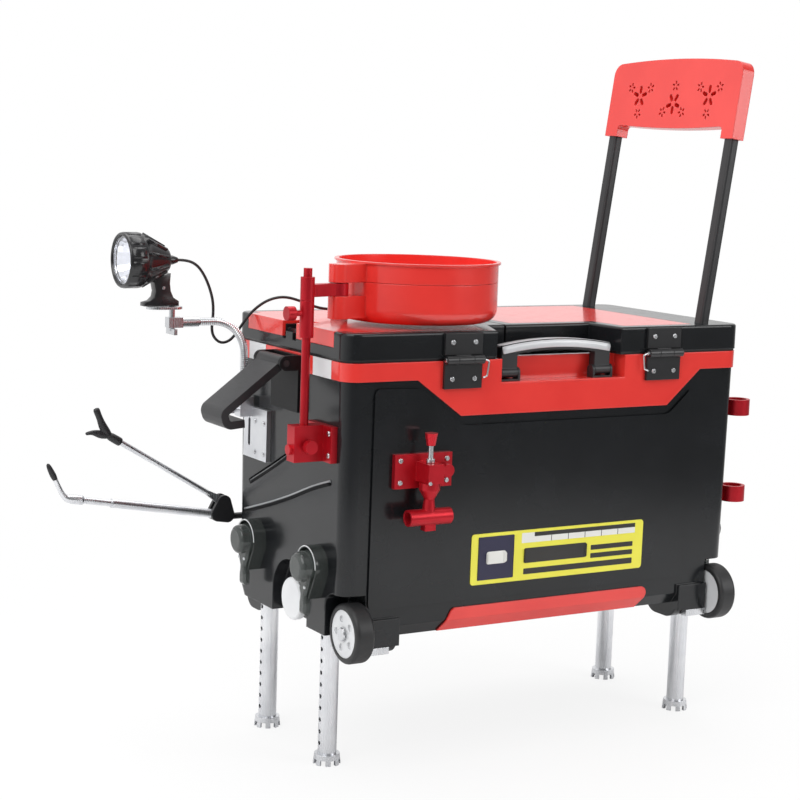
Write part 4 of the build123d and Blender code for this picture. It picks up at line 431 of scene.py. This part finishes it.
shape = bmesh.new()
plate_block(shape, -108, 141, 210.5, 271, 0.0, 0.8, 4.0, 0)
plate_block(shape, -98.5, -49, 215.5, 267, 0.8, 0.15, 0.8, 1)
plate_block(shape, -38, 128.5, 255.5, 267.5, 0.8, 0.15, 0.0, 2)
plate_block(shape, -20, 128.5, 262.5, 267.5, 0.95, 0.1, 0.0, 3)
for column in range(5):
    split = -20 + 24.5 * (column + 1)
    plate_block(shape, split - 0.4, split + 0.4, 255.5, 262.5, 0.95, 0.1, 0.0, 3)
plate_block(shape, -87, -60, 234, 249, 0.95, 0.1, 3.0, 2)
plate_block(shape, -34, 56, 231, 249, 0.8, 0.15, 2.0, 3)
plate_block(shape, 63, 126, 239, 245, 0.8, 0.15, 1.0, 3)
plate_block(shape, 63, 126, 229, 235, 0.8, 0.15, 1.0, 3)
plate_block(shape, -34, 126, 217.5, 224.5, 0.8, 0.15, 1.0, 3)
add_piece("front_plate", shape, "box", "white_plastic", plate_yellow, plate_navy, plate_white, plate_ink,
          smooth=False)

# %% [markdown]
# Two fine beads run slanting over the left end, a straight one and a long wavy one. They lie in the grooves
# of the moulding. Their light grey is a painted highlight along their lit edge, and a dull near-black band
# under each is painted shade in the grooves. A NURBS line with a round bevel gives the wave, and a mesh is made from
# it.

# %% Beads of the left end
# Painted highlight: the light grey of the beads stands in for the highlight along their lit edge.
bead_painted_highlight_grey = plastic("bead_painted_highlight_grey", (0.30, 0.31, 0.32), (0.22, 0.23, 0.24), 0.20, specular=0.6)


def round_wire(name, places, radius, order=3):
    """A smooth wire through the neighbourhood of some points, as a bmesh."""
    curve = bpy.data.curves.new(name, "CURVE")
    curve.dimensions = "3D"
    curve.bevel_depth = radius
    curve.bevel_resolution = 3
    curve.resolution_u = 8
    curve.use_fill_caps = True
    spline = curve.splines.new("NURBS")
    spline.points.add(len(places) - 1)
    for point, place in zip(spline.points, places):
        point.co = (*(Vector(place) * mm), 1)
    spline.order_u = order
    spline.use_endpoint_u = True
    holder = bpy.data.objects.new(name, curve)
    mesh = bpy.data.meshes.new_from_object(holder)
    shape = bmesh.new()
    shape.from_mesh(mesh)
    bpy.data.objects.remove(holder)
    bpy.data.meshes.remove(mesh)
    return shape


shade_band_sink = 2.4
long_bead = [(-275.6, 115, 266), (-275.7, 80, 276.5), (-275.9, 35, 290.5), (-276.0, -12, 306.5),
             (-276.2, -52, 322), (-276.3, -80, 331.5), (-276.4, -104, 338.5)]
short_bead = [(-276.0, 101, 304), (-276.1, 67, 319.5), (-276.3, 28, 338), (-276.5, -14, 360)]
# Painted shade: a dull near-black band sunk under each bead stands in for the shade in the grooves.
bead_painted_shade_black = plastic("bead_painted_shade_black", (0.006, 0.006, 0.007), (0.003, 0.003, 0.004), 0.5, specular=0.08)
bead_list = [("long_bead", long_bead, 1.7, 4.2), ("short_bead", short_bead, 0.9, 3.8)]
for name, route, radius, shade_width in bead_list:
    sunk = [(x + shade_band_sink, y, z - shade_width / 2) for x, y, z in route]
    add_piece(name, round_wire(name + "_wire", route, radius * mm), "box", "silver_plastic", bead_painted_highlight_grey)
    add_piece(name + "_shade_band", round_wire(name + "_seat_wire", sunk, shade_width * mm), "box", "black_gloss", bead_painted_shade_black)

# %% [markdown]
# The carry handle has a silver lip along the upper front edge of its grip. The grip is an arc, so the lip's
# small section is drawn once, at one end of the arc, and spun about the arc's centre.

# %% Silver lip of the carry handle
grip_middle_x, grip_top_z = 5.5, 496.0
grip_half, grip_sag = 77.5, 7.0
arc_radius = (grip_half ** 2 + grip_sag ** 2) / (2 * grip_sag)
arc_centre = Vector((grip_middle_x, 0, grip_top_z - arc_radius)) * mm
arc_half = math.asin(grip_half / arc_radius)
lip_section = [(-132.3, 485.8), (-134.2, 486.3), (-134.4, 491.6), (-133.4, 494.0), (-131.0, 496.3), (-130.2, 495.6)]
shape = bmesh.new()
section = [shape.verts.new((grip_middle_x * mm, y * mm, z * mm)) for y, z in lip_section]
outline = [shape.edges.new(pair) for pair in zip(section, section[1:] + section[:1])]
bmesh.ops.rotate(shape, cent=arc_centre, matrix=Matrix.Rotation(-arc_half, 3, "Y"), verts=section)
bmesh.ops.spin(shape, geom=section + outline, cent=arc_centre, axis=(0, 1, 0), angle=2 * arc_half, steps=28)
bmesh.ops.holes_fill(shape, edges=[e for e in shape.edges if e.is_boundary], sides=0)
add_piece("grip_lip", shape, "carry_handle", "silver_plastic", finishes["silver_plastic"])

# %% [markdown]
# The lamp is a turned shell: a broad bezel with shallow pads, a cone with cooling ribs and a small gland for
# the lead. Spinning half a section about the lamp's axis makes the shell. Inside the bezel a faceted bowl
# throws the light, and flat shading keeps its facets apart.

# %% Lamp shell
lamp_y, lamp_z = 95.0, 573.0
lamp_axis_at = Vector((0, lamp_y, lamp_z)) * mm
lamp_black = plastic("lamp_black", (0.020, 0.020, 0.022), (0.011, 0.011, 0.012), 0.20, specular=0.55)
reflector_silver = metal("reflector_silver", (0.95, 0.95, 0.97), (0.86, 0.86, 0.90), 0.12, edge=0.0002)


def turned(shape, profile, steps, angle=2 * math.pi, start=0.0):
    """Spins a profile of (x, radius) pairs in millimetres about the lamp's axis."""
    line = [shape.verts.new(lamp_axis_at + Vector((x * mm, 0, r * mm))) for x, r in profile]
    edges = [shape.edges.new(pair) for pair in zip(line, line[1:])]
    bmesh.ops.rotate(shape, cent=lamp_axis_at, matrix=Matrix.Rotation(start, 3, "X"), verts=line)
    bmesh.ops.spin(shape, geom=line + edges, cent=lamp_axis_at, axis=(1, 0, 0), angle=angle, steps=steps,
                   use_merge=angle > 6.2)


shell_profile = [(-444.5, 28.4), (-450.4, 28.6), (-451, 29.4), (-451, 31.0), (-449.8, 32), (-429, 32), (-427.6, 31.0),
                 (-427.2, 29.2), (-420, 27.0), (-402, 17.2), (-395, 14.4), (-393.4, 12.8), (-393.2, 6.4),
                 (-391, 5.6), (-387, 5.4), (-381, 3.4), (-380, 2.6), (-380, 1.2), (-396, 1.2), (-400, 12),
                 (-424, 25), (-444.5, 26.4), (-444.5, 28.4)]
shape = bmesh.new()
turned(shape, shell_profile, 64)
for pad in range(12):
    turned(shape, [(-447.5, 31.0), (-447.0, 32.5), (-431.6, 32.5), (-431.0, 31.0), (-447.5, 31.0)], 5,
           math.radians(22), math.radians(30 * pad))
bmesh.ops.remove_doubles(shape, verts=shape.verts, dist=1e-6)
bmesh.ops.holes_fill(shape, edges=[e for e in shape.edges if e.is_boundary], sides=0)
for rib in range(10):
    made = bmesh.ops.create_cube(shape, size=1.0)["verts"]
    bmesh.ops.scale(shape, vec=Vector((31, 2.4, 5.0)) * mm, verts=made)
    bmesh.ops.rotate(shape, cent=(0, 0, 0), matrix=Matrix.Rotation(math.radians(28.5), 3, "Y"), verts=made)
    bmesh.ops.translate(shape, vec=lamp_axis_at + Vector((-411.5, 0, 22.2)) * mm, verts=made)
    bmesh.ops.rotate(shape, cent=lamp_axis_at, matrix=Matrix.Rotation(math.radians(36 * rib), 3, "X"), verts=made)
lamp_shell = add_piece("lamp_shell", shape, "lamp_head", "black_matte", lamp_black)
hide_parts("lamp_housing")

shape = bmesh.new()
turned(shape, [(-445.0, 27.8), (-438, 24.5), (-430, 18.5), (-424.5, 11), (-422.5, 6.0)], 20)
bmesh.ops.remove_doubles(shape, verts=shape.verts, dist=1e-6)
bmesh.ops.recalc_face_normals(shape, faces=shape.faces)
bmesh.ops.solidify(shape, geom=shape.faces[:], thickness=0.4 * mm)
add_piece("lamp_bowl", shape, "lamp_head", "steel", reflector_silver, smooth=False)
shape = bmesh.new()
turned(shape, [(-422.0, 7.0), (-427, 6.4), (-430.5, 4.4), (-432, 0.0)], 24)
bmesh.ops.remove_doubles(shape, verts=shape.verts, dist=1e-6)
bmesh.ops.holes_fill(shape, edges=[e for e in shape.edges if e.is_boundary], sides=0)
add_piece("lamp_bulb", shape, "lamp_head", "white_plastic", finishes["white_plastic"])

# %% [markdown]
# Under the cone the lamp stands on a flared foot. It is a flat casting, so its outline is drawn once from the
# side, pushed out to its width, and its rims are rounded by a bevel.

# %% Lamp foot
foot_outline = [(-423.5, 519.7), (-423.5, 524.0), (-415.5, 526.0), (-410.8, 530.5), (-409.4, 537), (-411.5, 547),
                (-413, 552), (-391, 558), (-391.8, 546), (-390.6, 537), (-387, 529.5), (-380.2, 525.4),
                (-380.2, 519.7)]
foot_half_width = 7.0
shape = bmesh.new()
foot_side_y = (lamp_y - foot_half_width) * mm
side = shape.faces.new([shape.verts.new((x * mm, foot_side_y, z * mm)) for x, z in foot_outline])
pushed = bmesh.ops.extrude_face_region(shape, geom=[side, *side.edges])
bmesh.ops.translate(shape, vec=(0, 2 * foot_half_width * mm, 0),
                    verts=[v for v in pushed["geom"] if isinstance(v, bmesh.types.BMVert)])
rims = [e for e in shape.edges if abs(e.verts[0].co.y - e.verts[1].co.y) < 1e-6]
bmesh.ops.bevel(shape, geom=rims, offset=1.0 * mm, affect="EDGES", segments=3, profile=0.5, material=-1)
add_piece("lamp_foot", shape, "lamp_head", "black_matte", lamp_black)

# %% [markdown]
# The rod rest ends in a fork and a hook. Both are soft bent shapes, so each arm grows from a round section:
# the section is extruded from station to station, and each station has its own place, width and thickness.

# %% Fork and hook of the rod rest
rest_y = 160.0


def station_frame(place, along, width, thickness):
    """The frame of a section at a station of an arm that lies in the plane of the rod rest."""
    side = Vector((-along.z, 0, along.x))
    turn = Matrix((side, Vector((0, 1, 0)), along)).transposed().to_4x4()
    return Matrix.Translation(place * mm) @ turn @ Matrix.Diagonal((width * mm, thickness * mm, 1, 1))


def grow_arm(shape, stations, second_from=99):
    """Grows an arm through stations of (x, z, half width, half thickness); its tip may take a second material."""
    places = [Vector((x, rest_y, z)) for x, z, w, t in stations]
    frames = []
    for i, (x, z, w, t) in enumerate(stations):
        along = (places[min(i + 1, len(places) - 1)] - places[max(i - 1, 0)]).normalized()
        frames.append(station_frame(places[i], along, w, t))
    ring = bmesh.ops.create_circle(shape, cap_ends=True, radius=1.0, segments=12)["verts"]
    face = ring[0].link_faces[0]
    bmesh.ops.transform(shape, matrix=frames[0], verts=ring)
    for i in range(1, len(frames)):
        pushed = bmesh.ops.extrude_face_region(shape, geom=[face, *face.edges])
        verts = [g for g in pushed["geom"] if isinstance(g, bmesh.types.BMVert)]
        face = [g for g in pushed["geom"] if isinstance(g, bmesh.types.BMFace)][0]
        bmesh.ops.transform(shape, matrix=frames[i] @ frames[i - 1].inverted(), verts=verts)
        for near in {f for v in verts for f in v.link_faces}:
            near.material_index = int(i >= second_from)


shape = bmesh.new()
grow_arm(shape, [(-421.5, 349.0, 5.4, 5.4), (-423, 349.9, 5.6, 5.6), (-434, 356.4, 5.6, 5.6),
                 (-438.5, 358.8, 4.6, 4.8)])
grow_arm(shape, [(-434, 355.5, 3.0, 4.0), (-440, 361.5, 6.2, 4.6), (-445.6, 371.0, 5.4, 4.2),
                 (-448.4, 379.0, 3.9, 3.8), (-451.8, 386.5, 4.2, 3.6), (-454.0, 392.6, 4.6, 3.4)])
grow_arm(shape, [(-434, 357.0, 3.0, 4.0), (-446, 359.6, 5.6, 4.4), (-452, 361.6, 4.6, 4.0),
                 (-458, 363.0, 3.0, 3.6), (-463, 362.2, 2.2, 3.4), (-466.6, 361.4, 1.9, 3.2)])
fork = add_piece("rest_fork_arms", shape, "rest_arm", "black_matte", finishes["black_matte"])
soften(fork, 1)
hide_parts("rest_fork")

shape = bmesh.new()
grow_arm(shape, [(-468.2, 281.4, 5.8, 5.8), (-470, 281.7, 6.1, 6.1), (-486, 284.3, 6.1, 6.1),
                 (-490, 285.2, 4.4, 4.4), (-494.5, 289.5, 3.4, 3.4), (-499, 299.0, 3.1, 3.1),
                 (-504.6, 310.6, 3.0, 3.0), (-505.2, 311.6, 4.2, 4.2), (-510, 321, 3.6, 3.6),
                 (-513.8, 329.0, 2.4, 2.4)], second_from=7)
hook = add_piece("rest_hook_arm", shape, "box", "black_matte", finishes["tube_aluminium"], finishes["black_matte"])
soften(hook, 1)
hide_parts("rest_hook")

# %% [markdown]
# The leg locks are smoky caps: a drum on the wall, open in front, and in it a lever with a drum-shaped head, a
# narrow neck and a flat tail to pull at. The drum is the hull round a circle and the two corners of its foot.
# Two insets then cut the hollow into its front, so the lever's head has room to turn inwards.

# %% Drums of the leg locks
lock_face_x, lock_wall_x, lock_z, lock_y = 292.0, 274.0, 237.0, 79.0
drum_radius, drum_wall, drum_hollow, drum_draft = 24.0, 2.0, 12.0, 0.2
drum_foot = [(-8.0, 200.0), (8.0, 200.0)]
rim_radius, rim_thickness = 23.2, 0.7
lever_bodies = {(-1, -1): "lever_front_left", (-1, 1): "lever_rear_left",
                (1, -1): "lever_front_right", (1, 1): "lever_rear_right"}
drums = bmesh.new()
for end, turn in lever_bodies:
    middle = Vector((0, turn * lock_y, lock_z)) * mm
    points = []
    for x in (lock_wall_x, lock_face_x):
        ring = bmesh.ops.create_circle(drums, cap_ends=False, radius=drum_radius * mm, segments=48)["verts"]
        bmesh.ops.rotate(drums, cent=(0, 0, 0), matrix=Matrix.Rotation(math.pi / 2, 3, "Y"), verts=ring)
        bmesh.ops.translate(drums, vec=middle + Vector((end * x * mm, 0, 0)), verts=ring)
        points += ring
        points += [drums.verts.new((end * x * mm, (turn * lock_y + y) * mm, z * mm)) for y, z in drum_foot]
    hull = bmesh.ops.convex_hull(drums, input=points)
    spare = [g for g in hull["geom_interior"] + hull["geom_unused"] if isinstance(g, bmesh.types.BMVert)]
    bmesh.ops.delete(drums, geom=spare, context="VERTS")
bmesh.ops.dissolve_limit(drums, angle_limit=math.radians(1), verts=drums.verts, edges=drums.edges)
fronts = [f for f in drums.faces if abs(abs(f.calc_center_median().x) - lock_face_x * mm) < 1e-5]
bmesh.ops.recalc_face_normals(drums, faces=drums.faces)
bmesh.ops.inset_individual(drums, faces=fronts, thickness=drum_wall * mm, use_even_offset=True)
bmesh.ops.inset_individual(drums, faces=fronts, thickness=drum_draft * mm, depth=-drum_hollow * mm,
                           use_even_offset=True)
drum_piece = add_piece("lock_drums", drums, "box", "smoke_plastic", finishes["smoke_plastic"], smooth=False)
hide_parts("lock_housings")

# Painted highlight: a thin ridge round the front of each drum is coloured white to stand in for the highlight on the
# smoky cap's rim.
rim_highlight_shape = bmesh.new()
for end, turn in lever_bodies:
    centre = Vector((0, turn * lock_y, lock_z)) * mm
    ring = bmesh.ops.create_circle(rim_highlight_shape, cap_ends=False, radius=rim_thickness * mm, segments=8)["verts"]
    rim_start = Vector((end * lock_face_x, turn * lock_y + rim_radius, lock_z)) * mm
    bmesh.ops.translate(rim_highlight_shape, vec=rim_start, verts=ring)
    ring_edges = list({e for v in ring for e in v.link_edges})
    bmesh.ops.spin(rim_highlight_shape, geom=ring + ring_edges, cent=centre, axis=(1, 0, 0), angle=math.pi, steps=24)
bmesh.ops.holes_fill(rim_highlight_shape, edges=[e for e in rim_highlight_shape.edges if e.is_boundary], sides=0)
add_piece("lock_rim_highlights", rim_highlight_shape, "box", "white_plastic", finishes["white_plastic"])

# %% [markdown]
# Each lever rides on its own body. Its head is a short cone with a rounded front rim; its neck and tail start
# from an outline that is pushed out and rounded by insets.

# %% Levers of the leg locks
head_back_x, head_front_x, head_radius, head_nose = 288.0, 306.0, 19.0, 16.5
head_round = 5.0
tail_back_x, tail_push = 289.0, 5.0
tail_outline = [(-15.5, 227), (-12.5, 217), (-6.2, 204), (-6.6, 199), (-7.8, 195), (-7.8, 184), (-5.8, 181.2),
                (5.8, 181.2), (7.8, 184), (7.8, 195), (6.6, 199), (6.2, 204), (12.5, 217), (15.5, 227)]
tail_rounding = [(1.6, 1.6), (2.0, 0.8)]
for (end, turn), lever in lever_bodies.items():
    middle_y = turn * lock_y
    shape = bmesh.new()
    bmesh.ops.create_cone(shape, cap_ends=True, segments=40, radius1=head_radius * mm, radius2=head_nose * mm,
                          depth=(head_front_x - head_back_x) * mm)
    nose = [e for e in shape.edges if all(v.co.z > 0 for v in e.verts)]
    bmesh.ops.bevel(shape, geom=nose, offset=head_round * mm, affect="EDGES", segments=5, profile=0.5, material=-1)
    bmesh.ops.rotate(shape, cent=(0, 0, 0), matrix=Matrix.Rotation(end * math.pi / 2, 3, "Y"), verts=shape.verts)
    bmesh.ops.translate(shape, vec=Vector((end * (head_back_x + head_front_x) / 2, middle_y, lock_z)) * mm,
                        verts=shape.verts)
    tail = shape.faces.new([shape.verts.new((end * tail_back_x * mm, (middle_y + y) * mm, z * mm))
                            for y, z in tail_outline])
    tail.normal_update()
    if tail.normal.x * end < 0:
        tail.normal_flip()
    pushed = bmesh.ops.extrude_face_region(shape, geom=[tail, *tail.edges])
    front = [g for g in pushed["geom"] if isinstance(g, bmesh.types.BMFace)]
    bmesh.ops.translate(shape, vec=(end * tail_push * mm, 0, 0), verts=list(front[0].verts))
    for inwards, outwards in tail_rounding:
        bmesh.ops.inset_region(shape, faces=front, thickness=inwards * mm, depth=outwards * mm, use_even_offset=True)
    piece = add_piece(lever + "_cap", shape, lever, "smoke_plastic", finishes["smoke_plastic"], smooth=False)
    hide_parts(lever)

# %% [markdown]
# Small bright screws hold the levers, the turret and the lamp's foot. A short turned head makes a screw, and one
# helper sets it on its surface.

# %% Screws
def screw_heads(name, body, heads):
    """Small turned screw heads, each given by its foot in millimetres, its direction and its radius."""
    shape = bmesh.new()
    for foot, way, radius in heads:
        head = bmesh.ops.create_cone(shape, cap_ends=True, segments=20, radius1=radius * mm,
                                     radius2=0.72 * radius * mm, depth=0.6 * radius * mm)["verts"]
        turn = Vector((0, 0, 1)).rotation_difference(Vector(way)).to_matrix().to_4x4()
        bmesh.ops.transform(shape, matrix=Matrix.Translation(Vector(foot) * mm) @ turn, verts=head)
    return add_piece(name, shape, body, "steel", finishes["steel"], smooth=False)


lever_screw_x, lever_screw_y, lever_screw_z = 296.6, 6.4, 214.0
for (end, turn), lever in lever_bodies.items():
    feet = [(end * lever_screw_x, turn * lock_y + side * lever_screw_y, lever_screw_z) for side in (-1, 1)]
    screw_heads(lever + "_screws", lever, [(foot, (end, 0, 0), 2.2) for foot in feet])
screw_heads("turret_screw", "turret", [((-188, -174.2, 342), (0, -1, 0), 2.6)])
screw_heads("lamp_rivet", "lamp_head", [((-400, 87.8, 541), (0, -1, 0), 2.2)])

# %% [markdown]
# The pull pin of the front turret is one piece in the drawing, but the real pin is bare steel with a red cap.
# A mask on the height of a point tells the two apart, so one material dresses both.

# %% Steel pin with its red cap
def capped_pin(name, height, pin, cap):
    """Bare metal below a height and coloured metal above it."""
    material, tree, shader = shader_material(name)
    place = tree.nodes.new("ShaderNodeTexCoord").outputs["Object"]
    parts = tree.nodes.new("ShaderNodeSeparateXYZ")
    tree.links.new(place, parts.inputs["Vector"])
    above = range_in(tree, parts.outputs["Z"], height - 0.0001, height + 0.0001)
    effect = tree.nodes.new("ShaderNodeGroup")
    effect.node_tree = brushed
    tree.links.new(two_tones(tree, above, cap, pin), shader.inputs["Base Color"])
    tree.links.new(range_in(tree, above, 0, 1, 1.0, 0.55), shader.inputs["Metallic"])
    tree.links.new(range_in(tree, effect.outputs["Lines"], 0.3, 0.7, 0.22, 0.34), shader.inputs["Roughness"])
    soft_edge_bump(tree, shader, effect.outputs["Lines"], 0.3, 0.00003, 0.0008)
    return material


cap_height = 0.3825
dress(nodes["turret_knob"], capped_pin("pull_pin", cap_height, (0.72, 0.73, 0.75), (0.56, 0.010, 0.022)))
print("pull pin: red above", round(cap_height / mm, 1), "mm")

# %% [markdown]
# The gooseneck is a wound chrome tube, and painted shade darkens the grooves between its ribs. An Ambient
# Occlusion node finds the grooves, because it looks only a millimetre far, and mixes a dark tone into their colour as
# painted shade.

# %% Chrome of the gooseneck
def wound_chrome(name, ridge, groove_shade_tone, reach):
    """Chrome with painted shade: dark in the grooves of a wound tube."""
    material, tree, shader = shader_material(name)
    hollow = tree.nodes.new("ShaderNodeAmbientOcclusion")
    hollow.samples = 8
    hollow.inputs["Distance"].default_value = reach
    effect = tree.nodes.new("ShaderNodeGroup")
    effect.node_tree = brushed
    # Painted shade: the AO mask mixes the dark tone into the colour of the grooves.
    open_share = range_in(tree, hollow.outputs["AO"], 0.45, 0.85)
    tree.links.new(two_tones(tree, open_share, ridge, groove_shade_tone), shader.inputs["Base Color"])
    tree.links.new(range_in(tree, effect.outputs["Lines"], 0.3, 0.7, 0.10, 0.20), shader.inputs["Roughness"])
    shader.inputs["Metallic"].default_value = 1.0
    soft_edge_bump(tree, shader, effect.outputs["Lines"], 0.2, 0.00002, 0.0002)
    return material


dress(nodes["gooseneck"], wound_chrome("neck_chrome", (0.70, 0.71, 0.73), (0.06, 0.06, 0.065), 0.0015))
print("gooseneck: grooves darkened within 1.5 mm")

# %% [markdown]
# The floor is a plain pale disc that takes the shadow and fades into the white studio towards its edge. The
# backdrop is white for the camera and behind clear plastic. Reflections see the same white backdrop behind the
# box, and a dim room on the camera's side, as in a real studio.

# %% Floor, studio and light
floor_mesh = bpy.data.meshes.new("floor")
shape = bmesh.new()
bmesh.ops.create_circle(shape, cap_ends=True, radius=1.6, segments=96)
shape.to_mesh(floor_mesh)
shape.free()
floor = bpy.data.objects.new("floor", floor_mesh)
bpy.context.scene.collection.objects.link(floor)
floor_paint = bpy.data.materials.new("floor_paint")
floor_paint.use_nodes = True
paint = floor_paint.node_tree
paint.nodes.clear()
paint_out = paint.nodes.new("ShaderNodeOutputMaterial")
matt = paint.nodes.new("ShaderNodeBsdfDiffuse")
matt.inputs["Color"].default_value = (0.86, 0.86, 0.86, 1)
glow = paint.nodes.new("ShaderNodeEmission")
glow.inputs["Strength"].default_value = 1.0
rays = paint.nodes.new("ShaderNodeLightPath")
seen = paint.nodes.new("ShaderNodeMath")
seen.operation = "MULTIPLY"
spot = paint.nodes.new("ShaderNodeVectorMath")
spot.operation = "LENGTH"
paint.links.new(paint.nodes.new("ShaderNodeTexCoord").outputs["Object"], spot.inputs[0])
paint.links.new(rays.outputs["Is Camera Ray"], seen.inputs[0])
paint.links.new(range_in(paint, spot.outputs["Value"], 0.5, 1.4, 0.84, 1.0), seen.inputs[1])
blend = paint.nodes.new("ShaderNodeMixShader")
paint.links.new(seen.outputs["Value"], blend.inputs["Fac"])
paint.links.new(matt.outputs["BSDF"], blend.inputs[1])
paint.links.new(glow.outputs["Emission"], blend.inputs[2])
paint.links.new(blend.outputs["Shader"], paint_out.inputs["Surface"])
dress(floor, floor_paint)

studio = bpy.data.worlds.new("studio")
bpy.context.scene.world = studio
studio.use_nodes = True
sky = studio.node_tree
sky.nodes.clear()
sky_out = sky.nodes.new("ShaderNodeOutputWorld")
way = sky.nodes.new("ShaderNodeTexCoord").outputs["Generated"]
dot = sky.nodes.new("ShaderNodeVectorMath")
dot.operation = "DOT_PRODUCT"
dot.inputs[1].default_value = (-0.35, 0.80, 0.45)
sky.links.new(way, dot.inputs[0])
sweep = range_in(sky, dot.outputs["Value"], -0.5, 0.6, 0.16, 1.0)
rays = sky.nodes.new("ShaderNodeLightPath")
plain = sky.nodes.new("ShaderNodeMath")
plain.operation = "MAXIMUM"
sky.links.new(rays.outputs["Is Camera Ray"], plain.inputs[0])
sky.links.new(rays.outputs["Is Transmission Ray"], plain.inputs[1])
level_of = sky.nodes.new("ShaderNodeMix")
level_of.data_type = "FLOAT"
sky.links.new(plain.outputs["Value"], level_of.inputs["Factor"])
sky.links.new(sweep, level_of.inputs["A"])
level_of.inputs["B"].default_value = 1.0
background = sky.nodes.new("ShaderNodeBackground")
background.inputs["Color"].default_value = (1, 1, 1, 1)
sky.links.new(level_of.outputs["Result"], background.inputs["Strength"])
sky.links.new(background.outputs["Background"], sky_out.inputs["Surface"])


def softbox(name, place, aim, size, power):
    """A square area lamp that looks at a point."""
    lamp = bpy.data.lights.new(name, "AREA")
    lamp.size = size
    lamp.energy = power
    box = bpy.data.objects.new(name, lamp)
    box.location = place
    box.rotation_euler = (Vector(aim) - Vector(place)).to_track_quat("-Z", "Y").to_euler()
    bpy.context.scene.collection.objects.link(box)


box_middle = (0.0, 0.0, 0.35)
softbox("key_left", (-1.6, -0.9, 1.9), box_middle, 1.4, 21)
softbox("top", (0.2, 0.5, 2.4), box_middle, 1.8, 22)
softbox("front_right", (1.5, -2.0, 1.3), box_middle, 1.4, 24)
bpy.context.scene.view_settings.view_transform = "Standard"
print("stage: floor, sweep and three softboxes")
